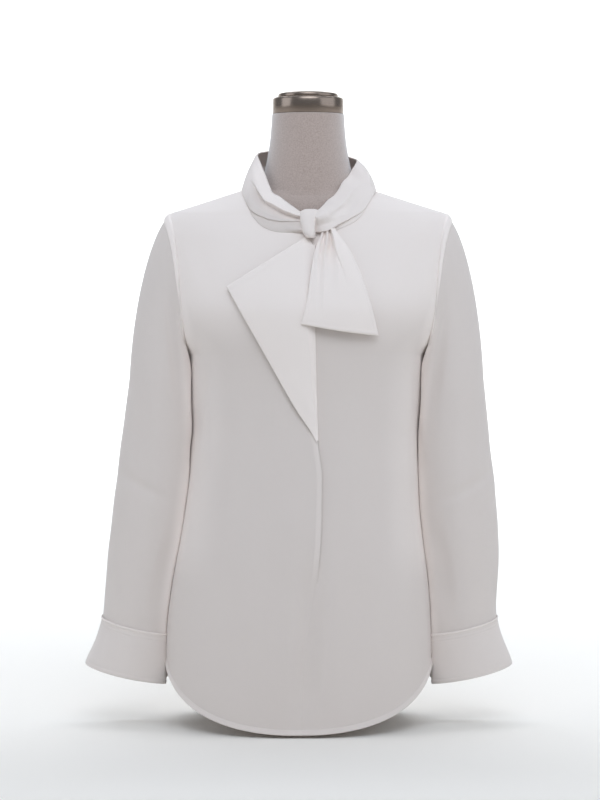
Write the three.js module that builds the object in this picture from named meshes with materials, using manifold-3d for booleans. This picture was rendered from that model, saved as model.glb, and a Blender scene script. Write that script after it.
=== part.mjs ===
// A tie neck blouse on a limbless dress form, which stands on a short pole and a round foot.
// Millimetres. +Z is up, the front faces -Y and the wearer's right side is at -X.
// The origin is on the floor, in the middle of the foot's underside.
// Every piece of cloth is a closed wall: a grid of outer points, and the same grid moved in.
import * as THREE from "three";
import Module from "manifold-3d";
import { mergeVertices } from "three/addons/utils/BufferGeometryUtils.js";

const wasm = await Module();
wasm.setup();

// Driving sizes
const clothWall = 1;
const bandWall = 3.2; // the folded neck band is several layers thick
const tieWall = 1.6; // the tie's end is a flattened tube of cloth
const seamGap = 0.3;
const shoulderHalf = 178; // middle to sleeve seam
const shoulderHeight = 664;
const underarmHeight = 480;
const neckHalf = 85; // middle to the neck end of the shoulder seam
const neckFront = 88; // how far the neckline lies in front of the shoulder seams
const neckSideHeight = 694;
const neckBackRise = 10;
const neckRoundness = 2.7;
const chestHeight = 600; // above this the front only slopes back
const hemLow = 4; // the front and back tails clear the floor by this
const hemRise = 102; // from the tails up to the side seams
const hemCurve = 2.2;
const sectionPower = 2.2; // 2 is an ellipse, and more is squarer
const underlap = 20; // the left front runs on under the right one
const bodyToSleeve = 2.2;
const underarmGap = 1; // more room at the bottom of the armhole, where the sleeve folds under

// Values between a table's rows, smooth and with no overshoot. The first column is the one looked up.
function curves(columns, rows) {
  const at = rows.map((row) => row[0]);
  const found = {};
  columns.slice(1).forEach((name, k) => {
    const y = rows.map((row) => row[k + 1]);
    const slopes = y.slice(1).map((v, i) => (v - y[i]) / (at[i + 1] - at[i]));
    const tangents = y.map((_, i) => {
      const before = slopes[Math.max(i - 1, 0)];
      const after = slopes[Math.min(i, slopes.length - 1)];
      return before * after <= 0 ? 0 : (2 * before * after) / (before + after);
    });
    found[name] = (x) => {
      const clamped = Math.min(Math.max(x, at[0]), at[at.length - 1]);
      let i = 0;
      while (i < at.length - 2 && clamped > at[i + 1]) i++;
      const width = at[i + 1] - at[i];
      const t = (clamped - at[i]) / width;
      const rest = 1 - t;
      return (
        (1 + 2 * t) * rest * rest * y[i] +
        t * rest * rest * width * tangents[i] +
        t * t * (3 - 2 * t) * y[i + 1] -
        t * t * rest * width * tangents[i + 1]
      );
    };
  });
  return found;
}

// The body of the blouse at each height. edge is the half width to the side seam or the armhole, wide is the
// half width of the oval that the section is cut from, front and back are its depths, and shift moves it.
const body = curves(
  ["height", "edge", "wide", "front", "back", "shift"],
  [
    [0, 175, 175, 119, 108, -12],
    [90, 175, 175, 121, 112, -12],
    [130, 174, 174, 121.5, 113, -12],
    [170, 171, 171, 121.5, 112, -11],
    [208, 166, 166, 121, 109, -10],
    [246, 158.5, 158.5, 119.5, 104, -9],
    [285, 152.5, 152.5, 117.5, 98, -8],
    [325, 148.5, 148.5, 115.5, 92, -6],
    [363, 145.5, 145.5, 114, 88, -5],
    [383, 144.5, 144.5, 113.5, 87, -4],
    [422, 147, 147, 114, 88, -3],
    [480, 150, 150, 119, 95, -2],
    [498, 152, 164, 122.5, 98, -1.5],
    [514, 154, 173, 125, 100, -1],
    [536, 158, 181, 127, 102, -0.5],
    [560, 161, 187, 121.5, 102.5, 0],
    [600, 166, 194, 105, 100, 0],
    [634, 170.5, 195, 89.5, 91, 0],
    [650, 174, 190.5, 80.5, 86, 0],
    [shoulderHeight, shoulderHalf, shoulderHalf, 72.5, 80, 0],
    [669, shoulderHalf, 163, 70.5, 78.5, 0],
    [679, shoulderHalf, 131, 66, 75, 0],
    [690, shoulderHalf, 97, 60, 70, 0],
    [neckSideHeight, shoulderHalf, neckHalf, 58, 68, 0],
    [neckSideHeight + neckBackRise, shoulderHalf, neckHalf - 1.5, 56, 63, 0],
  ],
);

// The right front's free edge, and how far it stands off the left front that it lies on.
const frontEdge = curves(
  ["height", "x", "lift"],
  [
    [0, -6, 1.5],
    [53, -5, 1.5],
    [153, 5, 1.7],
    [197, 11, 2.2],
    [228, 14, 3],
    [278, 16.5, 3.6],
    [328, 17, 3.6],
    [365, 13, 3],
    [390, 10.5, 2],
    [430, 9, 1.6],
    [515, 6, 1.5],
    [634, 3, 1.5],
  ],
);
const liftFlat = 26; // the lift is whole this far from the edge, and dies away over liftFade
const liftFade = 50;

const smoothStep = (t) => {
  const c = Math.min(Math.max(t, 0), 1);
  return c * c * (3 - 2 * c);
};
const mix = (a, b, t) => a + (b - a) * t;
const bump = (t) => (Math.abs(t) < 1 ? (1 - t * t) ** 2 : 0);

// How far the body's surface lies in front of the side seams, or behind them.
function depthAt(x, height, half) {
  const share = Math.min(1, Math.abs(x - body.shift(height)) / body.wide(height));
  return body[half](height) * (1 - share ** sectionPower) ** (1 / sectionPower);
}

// The height between low and high at which a falling function of height reaches a value.
function heightWhere(fallingTo, value, low, high) {
  let [a, b] = [low, high];
  for (let i = 0; i < 40; i++) {
    const middle = (a + b) / 2;
    if (fallingTo(middle) > value) a = middle;
    else b = middle;
  }
  return (a + b) / 2;
}

const shoulderLine = (x) => heightWhere(body.wide, Math.abs(x), shoulderHeight, neckSideHeight);

// A point of the neckline. turn is 0 at the front, 90 at the left shoulder seam, -90 at the right, in degrees.
function neckline(turn, half) {
  const angle = THREE.MathUtils.degToRad(turn);
  const across = Math.abs(Math.sin(angle));
  const along = Math.abs(Math.cos(angle));
  if (half === "back") {
    const x = Math.sign(turn) * neckHalf * across;
    return { x, z: neckSideHeight + neckBackRise * along ** 1.5 };
  }
  const x = Math.sign(turn) * neckHalf * across ** (2 / neckRoundness);
  const ahead = neckFront * along ** (2 / neckRoundness);
  return { x, z: heightWhere((z) => depthAt(x, z, "front"), ahead, chestHeight, neckSideHeight) };
}

// side is 0 in the middle of a tail and 1 or -1 at a side seam.
function hemHeight(side) {
  const quarter = Math.asin(Math.min(1, Math.abs(side))) / (Math.PI / 2);
  return hemLow + hemRise * quarter ** hemCurve;
}

// Normals of a grid of points, from the faces round each. Rows run up, and columns run anticlockwise seen
// from above.
function gridNormals(grid, closed) {
  const normals = grid.map((row) => row.map(() => new THREE.Vector3()));
  const columns = grid[0].length;
  const last = closed ? columns : columns - 1;
  for (let i = 0; i < grid.length - 1; i++)
    for (let j = 0; j < last; j++) {
      const k = (j + 1) % columns;
      const along = grid[i + 1][k].clone().sub(grid[i][j]);
      const across = grid[i][k].clone().sub(grid[i + 1][j]);
      const face = across.cross(along);
      [normals[i][j], normals[i][k], normals[i + 1][j], normals[i + 1][k]].forEach((n) => n.add(face));
    }
  normals.forEach((row) => row.forEach((n) => n.normalize()));
  return normals;
}

// A closed wall between a grid and the same grid moved in along its normals.
function wallOf(grid, thickness, { closed = false, normals = gridNormals(grid, closed) } = {}) {
  const rows = grid.length;
  const columns = grid[0].length;
  const inner = grid.map((row, i) => row.map((p, j) => p.clone().addScaledVector(normals[i][j], -thickness)));
  const positions = [...grid.flat(), ...inner.flat()].flatMap((p) => [p.x, p.y, p.z]);
  const outer = (i, j) => i * columns + (j % columns);
  const inside = (i, j) => rows * columns + outer(i, j);
  const index = [];
  const quad = (a, b, c, d) => index.push(a, b, c, a, c, d);
  const last = closed ? columns : columns - 1;
  for (let i = 0; i < rows - 1; i++)
    for (let j = 0; j < last; j++) {
      quad(outer(i, j), outer(i, j + 1), outer(i + 1, j + 1), outer(i + 1, j));
      quad(inside(i, j), inside(i + 1, j), inside(i + 1, j + 1), inside(i, j + 1));
    }
  for (let j = 0; j < last; j++) {
    quad(outer(0, j), inside(0, j), inside(0, j + 1), outer(0, j + 1));
    quad(outer(rows - 1, j), outer(rows - 1, j + 1), inside(rows - 1, j + 1), inside(rows - 1, j));
  }
  if (!closed)
    for (let i = 0; i < rows - 1; i++) {
      quad(outer(i, 0), outer(i + 1, 0), inside(i + 1, 0), inside(i, 0));
      quad(outer(i, last), inside(i, last), inside(i + 1, last), outer(i + 1, last));
    }
  return geometryOf(positions, index);
}

// A solid between closed rings, from the lowest up, with flat ends.
function solidOf(rings) {
  const columns = rings[0].length;
  const centres = [rings[0], rings[rings.length - 1]].map((ring) =>
    ring.reduce((sum, p) => sum.add(p), new THREE.Vector3()).divideScalar(columns),
  );
  const positions = [...rings.flat(), ...centres].flatMap((p) => [p.x, p.y, p.z]);
  const bottom = rings.length * columns;
  const top = bottom + 1;
  const lastRing = bottom - columns;
  const index = [];
  for (let j = 0; j < columns; j++) {
    const k = (j + 1) % columns;
    for (let i = 0; i < rings.length - 1; i++) {
      const [a, b] = [i * columns, (i + 1) * columns];
      index.push(a + j, a + k, b + k, a + j, b + k, b + j);
    }
    index.push(bottom, k, j, top, lastRing + j, lastRing + k);
  }
  return geometryOf(positions, index);
}

function geometryOf(positions, index) {
  return new THREE.BufferGeometry()
    .setAttribute("position", new THREE.Float32BufferAttribute(positions, 3))
    .setIndex(index);
}

function manifoldOf(geometry) {
  const bare = geometry.clone();
  bare.deleteAttribute("normal");
  bare.deleteAttribute("uv");
  const merged = mergeVertices(bare, 1e-3);
  return new wasm.Manifold(
    new wasm.Mesh({
      numProp: 3,
      vertProperties: merged.attributes.position.array,
      triVerts: new Uint32Array(merged.index.array),
    }),
  );
}

// A geometry with others cut out of it. Only the largest piece is kept.
function cutBy(geometry, ...cutters) {
  const left = cutters.reduce((solid, cutter) => solid.subtract(manifoldOf(cutter)), manifoldOf(geometry));
  const largest = left.decompose().sort((a, b) => b.volume() - a.volume())[0];
  const mesh = largest.getMesh();
  return geometryOf(Array.from(mesh.vertProperties), Array.from(mesh.triVerts));
}

// Body panels
const neckColumns = 9;
const shoulderColumns = 5;
const lowerRows = 9;
const armholeRows = 13;
// Rows lie closer together where the surface turns over, most of all at the shoulder.
const armholeSpread = (t) => (1 - (1 - t) ** 2.4) ** 1.6;

// The top ends of a panel's columns, from one turn of the neckline out to the armhole on a side, 1 or -1.
function columnTops(half, firstTurn, side) {
  const tops = [];
  for (let j = 0; j <= neckColumns; j++) tops.push(neckline(mix(firstTurn, 90 * side, j / neckColumns), half));
  const start = Math.asin(neckHalf / shoulderHalf);
  for (let j = 1; j <= shoulderColumns; j++) {
    const x = side * shoulderHalf * Math.sin(mix(start, Math.PI / 2, j / shoulderColumns));
    tops.push({ x, z: shoulderLine(x) });
  }
  return tops;
}

// One column of a panel, from the hem to the top. share is 0 at the panel's inner edge and 1 at its side.
function panelColumn({ half, side, share, top, innerEdge, lift }) {
  const points = [];
  const ends = share > 0.999 || (top.z >= shoulderHeight && Math.abs(top.x) >= neckHalf - 0.01);
  for (let i = 0; i <= lowerRows + armholeRows; i++) {
    const xAt = (z) => mix(innerEdge(z), body.shift(z) + side * body.edge(Math.min(z, shoulderHeight)), share);
    const hem = hemHeight((xAt(60) - body.shift(60)) / body.edge(60));
    const z =
      i <= lowerRows
        ? mix(hem, underarmHeight, i / lowerRows)
        : mix(underarmHeight, top.z, armholeSpread((i - lowerRows) / armholeRows));
    const x = xAt(z);
    const onSeam = ends && (i === lowerRows + armholeRows || (share > 0.999 && i <= lowerRows));
    const depth = (onSeam ? 0 : depthAt(x, z, half)) + seamGap / 2 + lift(x, z);
    points.push(new THREE.Vector3(x, half === "front" ? -depth : depth, z));
  }
  return points;
}

function panel(columns) {
  const grid = columns[0].map((_, i) => columns.map((column) => column[i]));
  const normals = gridNormals(grid, false);
  // At the side and shoulder seams the wall's edge stands square to the seam.
  grid.forEach((row, i) =>
    row.forEach((p, j) => {
      if (Math.abs(p.y) < seamGap) normals[i][j].setY(0).normalize();
    }),
  );
  return { grid, normals };
}

const noLift = () => 0;
const rightFrontLift = (x, z) =>
  frontEdge.lift(z) * (1 - smoothStep((frontEdge.x(z) - x - liftFlat) / liftFade));

function rightFrontPanel() {
  const tops = columnTops("front", 2, -1);
  const first = tops[0].x;
  const columns = tops.map((top) =>
    panelColumn({
      half: "front",
      side: -1,
      share: (first - top.x) / (first + shoulderHalf),
      top,
      innerEdge: frontEdge.x,
      lift: rightFrontLift,
    }),
  );
  return panel(columns.reverse());
}

function leftFrontPanel() {
  const tops = columnTops("front", -7, 1);
  const first = tops[0].x;
  const columns = tops.map((top) =>
    panelColumn({
      half: "front",
      side: 1,
      share: (top.x - first) / (shoulderHalf - first),
      top,
      innerEdge: (z) => frontEdge.x(z) - underlap,
      lift: noLift,
    }),
  );
  return panel(columns);
}

function backPanel() {
  const halfOf = (side) =>
    columnTops("back", 0, side).map((top) =>
      panelColumn({
        half: "back",
        side,
        share: Math.abs(top.x) / shoulderHalf,
        top,
        innerEdge: body.shift,
        lift: noLift,
      }),
    );
  return panel([...halfOf(1).reverse(), ...halfOf(-1).slice(1)]);
}

// Sleeves. outer and depth are a ring's reach from the body's middle line and its half depth front to back.
const sleeve = curves(
  ["height", "outer", "depth"],
  [
    [60, 276, 41],
    [130, 256, 40],
    [149, 256, 42],
    [201, 255.5, 45],
    [253, 252, 49],
    [305, 247, 52],
    [357, 241, 54],
    [409, 235, 56],
    [461, 229, 58],
  ],
);
const bicepsHeight = 452;
const cuffSeamHeight = 130;
const cuffHemHeight = 66;
const cuffInnerReach = 3.5; // how much further the cuff's hem reaches from the body than its seam
// How the sleeve's head leaves the armhole and comes down to the upper arm: outward and down, as shares of the
// distance between the two
const capLeaving = { low: [0.12, 0.85], high: [0.45, 0.3] };
const capArriving = [0.05, 1.1];
const capRows = 7;
const sleeveRows = 6;
const cuffRows = 3;
const cuffTiltOut = 0.21; // rise of the cuff per millimetre outwards
const cuffTiltFront = 0.08; // drop of the cuff per millimetre forwards

// A ring round the arm, outermost point first, then forwards. turns are in degrees.
function sleeveRing(height, side, turns) {
  const inner = body.edge(Math.max(height, cuffSeamHeight)) + bodyToSleeve +
    cuffInnerReach * smoothStep((cuffSeamHeight - height) / (cuffSeamHeight - cuffHemHeight));
  const outer = sleeve.outer(height);
  const half = (outer - inner) / 2;
  const tilt = smoothStep((bicepsHeight - height) / (bicepsHeight - cuffSeamHeight));
  return turns.map((turn) => {
    const angle = THREE.MathUtils.degToRad(turn);
    const out = half * Math.cos(angle);
    const y = -sleeve.depth(height) * Math.sin(angle);
    const z = height + tilt * (cuffTiltOut * out + cuffTiltFront * y);
    return new THREE.Vector3(body.shift(height) + side * ((outer + inner) / 2 + out), y, z);
  });
}

// The armhole, from the shoulder down the front to the underarm and up the back, with the panels' own normals.
function armhole(side, fronts, backs) {
  const column = (made, j) => {
    const at = j < 0 ? made.grid[0].length - 1 : 0;
    return made.grid.map((row, i) => ({ point: row[at], normal: made.normals[i][at] })).slice(lowerRows);
  };
  const front = column(fronts, side > 0 ? -1 : 0).reverse();
  const back = column(backs, side > 0 ? 0 : -1);
  const loop = [...front, ...back.slice(1, -1)];
  return loop.map(({ point, normal }) => {
    const p = point.clone();
    if (Math.abs(p.y) < seamGap) p.y = 0;
    const high = (p.z - underarmHeight) / (shoulderHeight - underarmHeight);
    p.x += side * (seamGap + underarmGap * (1 - high) ** 2);
    return { point: p, normal };
  });
}

function sleeveWall(side, fronts, backs) {
  const loop = armhole(side, fronts, backs);
  const turns = loop.map((_, k) => (360 * k) / loop.length);
  const biceps = sleeveRing(bicepsHeight, side, turns);
  const rings = [];
  for (let i = 0; i < sleeveRows; i++)
    rings.push(sleeveRing(mix(cuffSeamHeight + seamGap, bicepsHeight, i / sleeveRows), side, turns));
  for (let i = 0; i <= capRows; i++) {
    const t = 1 - i / capRows; // 0 at the armhole
    rings.push(
      loop.map(({ point }, k) => {
        const span = point.distanceTo(biceps[k]);
        const high = (point.z - underarmHeight) / (shoulderHeight - underarmHeight);
        const outward = mix(capLeaving.low[0], capLeaving.high[0], high);
        const down = mix(capLeaving.low[1], capLeaving.high[1], high);
        const leaving = new THREE.Vector3(side * outward, 0, -down).multiplyScalar(span);
        const arriving = new THREE.Vector3(side * capArriving[0], 0, -capArriving[1]).multiplyScalar(span);
        const rest = 1 - t;
        return point.clone().multiplyScalar((1 + 2 * t) * rest * rest)
          .addScaledVector(leaving, t * rest * rest)
          .addScaledVector(biceps[k], t * t * (3 - 2 * t))
          .addScaledVector(arriving, -t * t * rest);
      }),
    );
  }
  const normalsAtTop = loop.map(({ normal }) => normal);
  if (side > 0) [...rings, normalsAtTop].forEach((ring) => ring.reverse());
  const normals = gridNormals(rings, true);
  normals[normals.length - 1] = normalsAtTop;
  return wallOf(rings, clothWall, { closed: true, normals });
}

function cuffWall(side) {
  const count = 24;
  const turns = Array.from({ length: count }, (_, k) => (360 * k) / count);
  const rings = [];
  for (let i = 0; i <= cuffRows; i++) {
    const ring = sleeveRing(mix(cuffHemHeight, cuffSeamHeight, i / cuffRows), side, turns);
    if (side > 0) ring.reverse();
    rings.push(ring);
  }
  return wallOf(rings, 1.6, { closed: true });
}

// Neck band: top edge by turn from the front, on both sides, as a radius and a height
const bandTop = curves(
  ["turn", "radius", "height"],
  [
    [0, 82, 667],
    [20, 77, 680],
    [40, 70, 699],
    [65, 64, 722],
    [90, 62, 739],
    [135, 63, 749],
    [180, 65, 752],
  ],
);
const bandAbove = 1.3; // the band's lower edge clears the panels' edges by this
const bandRows = 10;
const bandColumns = 38;
const bandEnd = { right: -3, left: 8 }; // turns at which the band runs into the knot

// Folds of the band. share runs from 0 at its lower edge to 1 at its top, and in is the depth of the trough.
const bandFolds = [
  { name: "deep crease", turns: [-84, -4], share: [0.6, 0.45], width: 0.17, depth: 4.5 },
  { name: "near-neck ripple", turns: [-60, -4], share: [0.84, 0.7], width: 0.1, depth: 1.6 },
  { name: "left dimple", turns: [62, 104], share: [0.72, 0.5], width: 0.16, depth: 3.2 },
  { name: "left pull", turns: [6, 60], share: [0.62, 0.8], width: 0.14, depth: 1.4 },
];
// Lower edges of the tie where it lies over the band's stand, and how far it stands off it.
const bandSteps = [
  { turns: [-96, -4], share: [0.06, 0.4], height: 3.6 },
  { turns: [6, 92], share: [0.14, 0.12], height: 1.6 },
];

function bandPoint(turn, share) {
  const size = Math.abs(turn);
  const half = size <= 90 ? "front" : "back";
  const wrapped = size <= 90 ? turn : Math.sign(turn) * (180 - size);
  const low = neckline(wrapped, half);
  const lowDepth = size === 90 ? 0 : depthAt(low.x, low.z, half);
  const lowY = half === "front" ? -lowDepth : lowDepth;
  const angle = THREE.MathUtils.degToRad(turn);
  const outward = new THREE.Vector3(Math.sin(angle), -Math.cos(angle), 0);
  const start = new THREE.Vector3(low.x, lowY, low.z + bandAbove).addScaledVector(outward, 1);
  const end = outward.clone().multiplyScalar(bandTop.radius(size)).setZ(bandTop.height(size));
  const bulge = mix(4, 8, smoothStep(size / 90)) * (turn > 0 ? 0.45 : 1);
  let out = bulge * Math.sin(Math.PI * share) ** 0.8;
  for (const fold of bandFolds) {
    const along = (turn - fold.turns[0]) / (fold.turns[1] - fold.turns[0]);
    const fade = smoothStep(along / 0.25) * (along > 1.2 ? 0 : 1);
    out -= fold.depth * fade * bump((share - mix(fold.share[0], fold.share[1], along)) / fold.width);
  }
  for (const step of bandSteps) {
    const along = (turn - step.turns[0]) / (step.turns[1] - step.turns[0]);
    const reach = smoothStep(Math.min(along, 1.3 - along) / 0.2);
    const edge = mix(step.share[0], step.share[1], along);
    out += step.height * reach * smoothStep((share - edge) / 0.07) * (1 - smoothStep((share - 0.75) / 0.25));
  }
  return start.lerp(end, share).addScaledVector(outward, out);
}

function neckBand() {
  const columns = [];
  for (let j = 0; j <= bandColumns; j++) {
    const turn = mix(bandEnd.left, 360 + bandEnd.right, j / bandColumns);
    const signed = turn > 180 ? turn - 360 : turn;
    columns.push(Array.from({ length: bandRows + 1 }, (_, i) => bandPoint(signed, i / bandRows)));
  }
  const grid = columns[0].map((_, i) => columns.map((column) => column[i]));
  const normals = gridNormals(grid, false);
  normals[0].forEach((n) => n.setZ(0).normalize()); // the lower edge stays level, so it clears the panels
  return wallOf(grid, bandWall, { normals });
}

// Knot
// offBody is where its middle lies in front of the body, and behind is how far it reaches back from there.
const knot = { x: 5, z: 648, halfWidth: 13.5, halfHeight: 21, halfDepth: 10.5, offBody: 11, behind: 5 };
const knotAround = 22;
const knotRows = 14;

function knotSolid(grow) {
  const rings = [];
  for (let i = 1; i < knotRows; i++) {
    const up = -Math.cos((Math.PI * i) / knotRows);
    const round = Math.sqrt(1 - up * up) ** 0.75;
    const width = knot.halfWidth * (1 + 0.16 * up) + grow;
    const z = knot.z + (knot.halfHeight + grow) * up;
    const ring = [];
    for (let k = 0; k < knotAround; k++) {
      const angle = (2 * Math.PI * k) / knotAround;
      const across = Math.cos(angle);
      const x = knot.x + 3 * up + width * round * Math.sign(across) * Math.abs(across) ** 0.85;
      const crease = 2.2 * bump((across - 0.42) / 0.22) * smoothStep((0.35 - up) / 0.5);
      const forward = -Math.sin(angle) * round;
      const reach = forward > 0 ? knot.halfDepth - crease : knot.behind;
      const stand = forward * (reach + grow);
      ring.push(new THREE.Vector3(x, -(body.front(z) + knot.offBody + stand), z));
    }
    rings.push(ring);
  }
  return solidOf(rings);
}

// Tie end: side edges by share of its length, as distances from the middle line, and the height there
const tieEnd = curves(
  ["share", "left", "leftHeight", "right", "rightHeight"],
  [
    [0, 13, 637, 35, 641],
    [0.25, 9.5, 606, 54, 614],
    [0.5, 6, 577, 67, 584],
    [0.75, 0, 549, 79, 547],
    [1, -9, 523, 89, 508],
  ],
);
const tieRows = 14;
const tieColumns = 16;
// Pleats that fan out from the knot: where each lies across the end at the top and the bottom, and its depth.
const tiePleats = [
  { top: 0.16, bottom: 0.2, width: 0.13, depth: 4.2, length: 0.75 },
  { top: 0.4, bottom: 0.34, width: 0.12, depth: 4.6, length: 0.62 },
  { top: 0.62, bottom: 0.66, width: 0.13, depth: 4.4, length: 0.7 },
];
const tieOffBody = { top: 9.5, bottom: 12.5 };

function tieEndWall() {
  const grid = [];
  for (let i = tieRows; i >= 0; i--) {
    const down = i / tieRows;
    const row = [];
    for (let j = 0; j <= tieColumns; j++) {
      const across = j / tieColumns;
      const x = mix(tieEnd.left(down), tieEnd.right(down), across);
      const sag = 1.5 * Math.sin(Math.PI * across) * down;
      const z = mix(tieEnd.leftHeight(down), tieEnd.rightHeight(down), across) - sag;
      let off = mix(tieOffBody.top, tieOffBody.bottom, down) + 2.5 * Math.sin(Math.PI * across);
      for (const pleat of tiePleats) {
        const fade = 1 - smoothStep(down / pleat.length);
        off -= pleat.depth * fade * bump((across - mix(pleat.top, pleat.bottom, down)) / pleat.width);
      }
      row.push(new THREE.Vector3(x, -(depthAt(x, z, "front") + off), z));
    }
    grid.push(row);
  }
  return wallOf(grid, tieWall);
}

// Turned-back flap of the right front: its fold line and its free edge, by share of its length
const flap = curves(
  ["share", "foldX", "foldHeight", "freeX", "freeHeight"],
  [
    [0, 7, 629, -103, 570],
    [0.25, 6.5, 565, -77, 524],
    [0.5, 7.5, 500, -46.5, 470],
    [0.75, 9, 435, -17, 418],
    [0.93, 10.5, 392, 6, 383],
    [1, 11, 376, 10.5, 374],
  ],
);
const flapTopDip = 3; // the top edge is a little hollow
const flapRows = 14;
const flapColumns = 10;
// How far the flap stands off the front: its seat at the fold, and what its roll, its middle, its top corner
// and its lower tip add to that
const flapOff = { seat: 0.5, roll: 3.4, belly: 1.8, corner: 3, tip: 0.6 };

function flapWall() {
  const grid = [];
  for (let i = flapRows; i >= 0; i--) {
    const down = i / flapRows;
    const row = [];
    for (let j = 0; j <= flapColumns; j++) {
      const inward = j / flapColumns; // 0 at the free edge, 1 at the fold
      const free = 1 - inward;
      const up = 1 - down;
      const x = mix(flap.freeX(down), flap.foldX(down), inward);
      const dip = flapTopDip * Math.sin(Math.PI * inward) * up ** 3;
      const z = mix(flap.freeHeight(down), flap.foldHeight(down), inward) - dip;
      const stand =
        flapOff.roll * smoothStep(free / 0.14) +
        flapOff.belly * Math.sin(Math.PI * free) +
        flapOff.corner * free ** 3 * up ** 2;
      const off = mix(flapOff.tip * smoothStep(free / 0.3), stand, smoothStep(up / 0.3));
      const under = depthAt(x, z, "front") + seamGap / 2 + rightFrontLift(x, z) + clothWall + flapOff.seat;
      row.push(new THREE.Vector3(x, -(under + off), z));
    }
    grid.push(row);
  }
  return wallOf(grid, clothWall);
}

// Dress form. ease is how much smaller the torso is than the blouse, past the wall and its clearance.
const formDrop = 2; // the torso's surface lies this far under the blouse's
const formEase = curves(
  ["height", "ease"],
  [
    [82, 9],
    [170, 7],
    [285, 12],
    [383, 18],
    [450, 12],
    [485, 9],
    [500, 7],
    [518, 4],
    [536, 2],
    [600, 1.4],
    [664, 1.6],
    [678, 1.9],
    [690, 2.4],
  ],
);
const neckRings = curves(
  ["height", "side", "front", "back"],
  [
    [692, 76, 53.5, 60],
    [701, 64, 52.5, 55.5],
    [712, 60, 54, 56],
    [724, 55.5, 53, 53.5],
    [740, 51.5, 51, 51],
    [765, 48.5, 48.5, 48.5],
    [792, 46.5, 46.5, 46.5],
  ],
);
const formBottom = 82;
const formHeights = [
  96, 130, 170, 230, 285, 335, 383, 430, 466, 480, 490, 502, 518, 536, 560, 585, 610, 632, 646, 655,
  660, 664, 668, 673, 678, 683, 687,
];
const formColumns = 11;

function torsoRing(height, shrink) {
  const above = height + formDrop;
  const inset = formDrop + formEase.ease(height) + shrink;
  const side = Math.min(body.edge(Math.min(above, shoulderHeight)), body.wide(above)) - inset;
  const ring = [];
  for (const [half, sign] of [["front", -1], ["back", 1]])
    for (let j = 0; j <= formColumns; j++) {
      const x = -sign * side * Math.sin(Math.PI * (j / formColumns - 0.5));
      const centred = x + body.shift(above);
      const deep = Math.max(depthAt(centred, above, half) - inset, 0.4);
      ring.push(new THREE.Vector3(centred, sign * deep, height));
    }
  return ring;
}

function neckRing(height) {
  const ring = [];
  for (const [half, sign] of [["front", -1], ["back", 1]])
    for (let j = 0; j <= formColumns; j++) {
      const angle = Math.PI * (j / formColumns - 0.5);
      const deep = Math.max(neckRings[half](height) * Math.cos(angle), 0.4);
      ring.push(new THREE.Vector3(-sign * neckRings.side(height) * Math.sin(angle), sign * deep, height));
    }
  return ring;
}

function torso() {
  const rings = [torsoRing(formBottom, 26), torsoRing(formBottom + 1.5, 14), torsoRing(formBottom + 5, 6)];
  formHeights.forEach((height) => rings.push(torsoRing(height, 0)));
  [692, 701, 712, 724, 740, 765, 792].forEach((height) => rings.push(neckRing(height)));
  return solidOf(rings);
}

// A turned piece from its outline, as radius and height pairs from the axis and back to it
const turned = (outline) => {
  const shape = new THREE.LatheGeometry(outline.map(([r, z]) => new THREE.Vector2(r, z)), 36);
  return shape.rotateX(Math.PI / 2);
};

const neckTop = 792;
const capRadius = 45.9;
const capHeight = 21;
const capStep = neckTop + seamGap + capHeight;
const discRadius = 38.8;
const neckCap = () =>
  turned([
    [0, neckTop + seamGap],
    [capRadius, neckTop + seamGap],
    [capRadius, capStep - 2.5],
    [capRadius - 1, capStep - 0.6],
    [capRadius - 3, capStep],
    [0, capStep],
  ]);
const capDisc = () =>
  turned([
    [0, capStep + seamGap],
    [discRadius, capStep + seamGap],
    [discRadius, capStep + 3.6],
    [discRadius - 1, capStep + 5],
    [discRadius - 6, capStep + 6.6],
    [discRadius - 16, capStep + 7.8],
    [0, capStep + 8.4],
  ]);

const footRadius = 84;
const footThick = 9;
const poleRadius = 15;
const foot = () =>
  turned([
    [0, 0],
    [footRadius, 0],
    [footRadius, 3],
    [footRadius - 1.5, 5],
    [footRadius - 10, 6.6],
    [30, footThick],
    [0, footThick],
  ]);
const pole = () =>
  turned([
    [0, footThick + seamGap],
    [poleRadius, footThick + seamGap],
    [poleRadius, formBottom - 8],
    [poleRadius + 9, formBottom - 5],
    [poleRadius + 9, formBottom - seamGap],
    [0, formBottom - seamGap],
  ]);

// Materials
const ivoryCrepe = new THREE.MeshStandardMaterial({ color: 0xe9e6df, roughness: 0.78, side: THREE.DoubleSide });
const formLinen = new THREE.MeshStandardMaterial({ color: 0xb9afa6, roughness: 0.9 });
const brushedNickel = new THREE.MeshStandardMaterial({ color: 0xa39a92, roughness: 0.28, metalness: 1 });
const standMetal = new THREE.MeshStandardMaterial({ color: 0x9b9894, roughness: 0.4, metalness: 1 });

const blouse = new THREE.Group();
const add = (name, geometry, material) => {
  const mesh = new THREE.Mesh(geometry, material);
  mesh.name = name;
  blouse.add(mesh);
};

const fronts = { right: rightFrontPanel(), left: leftFrontPanel() };
const back = backPanel();
const asWall = ({ grid, normals }) => wallOf(grid, clothWall, { normals });
const knotGrown = knotSolid(seamGap + 0.2);

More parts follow.
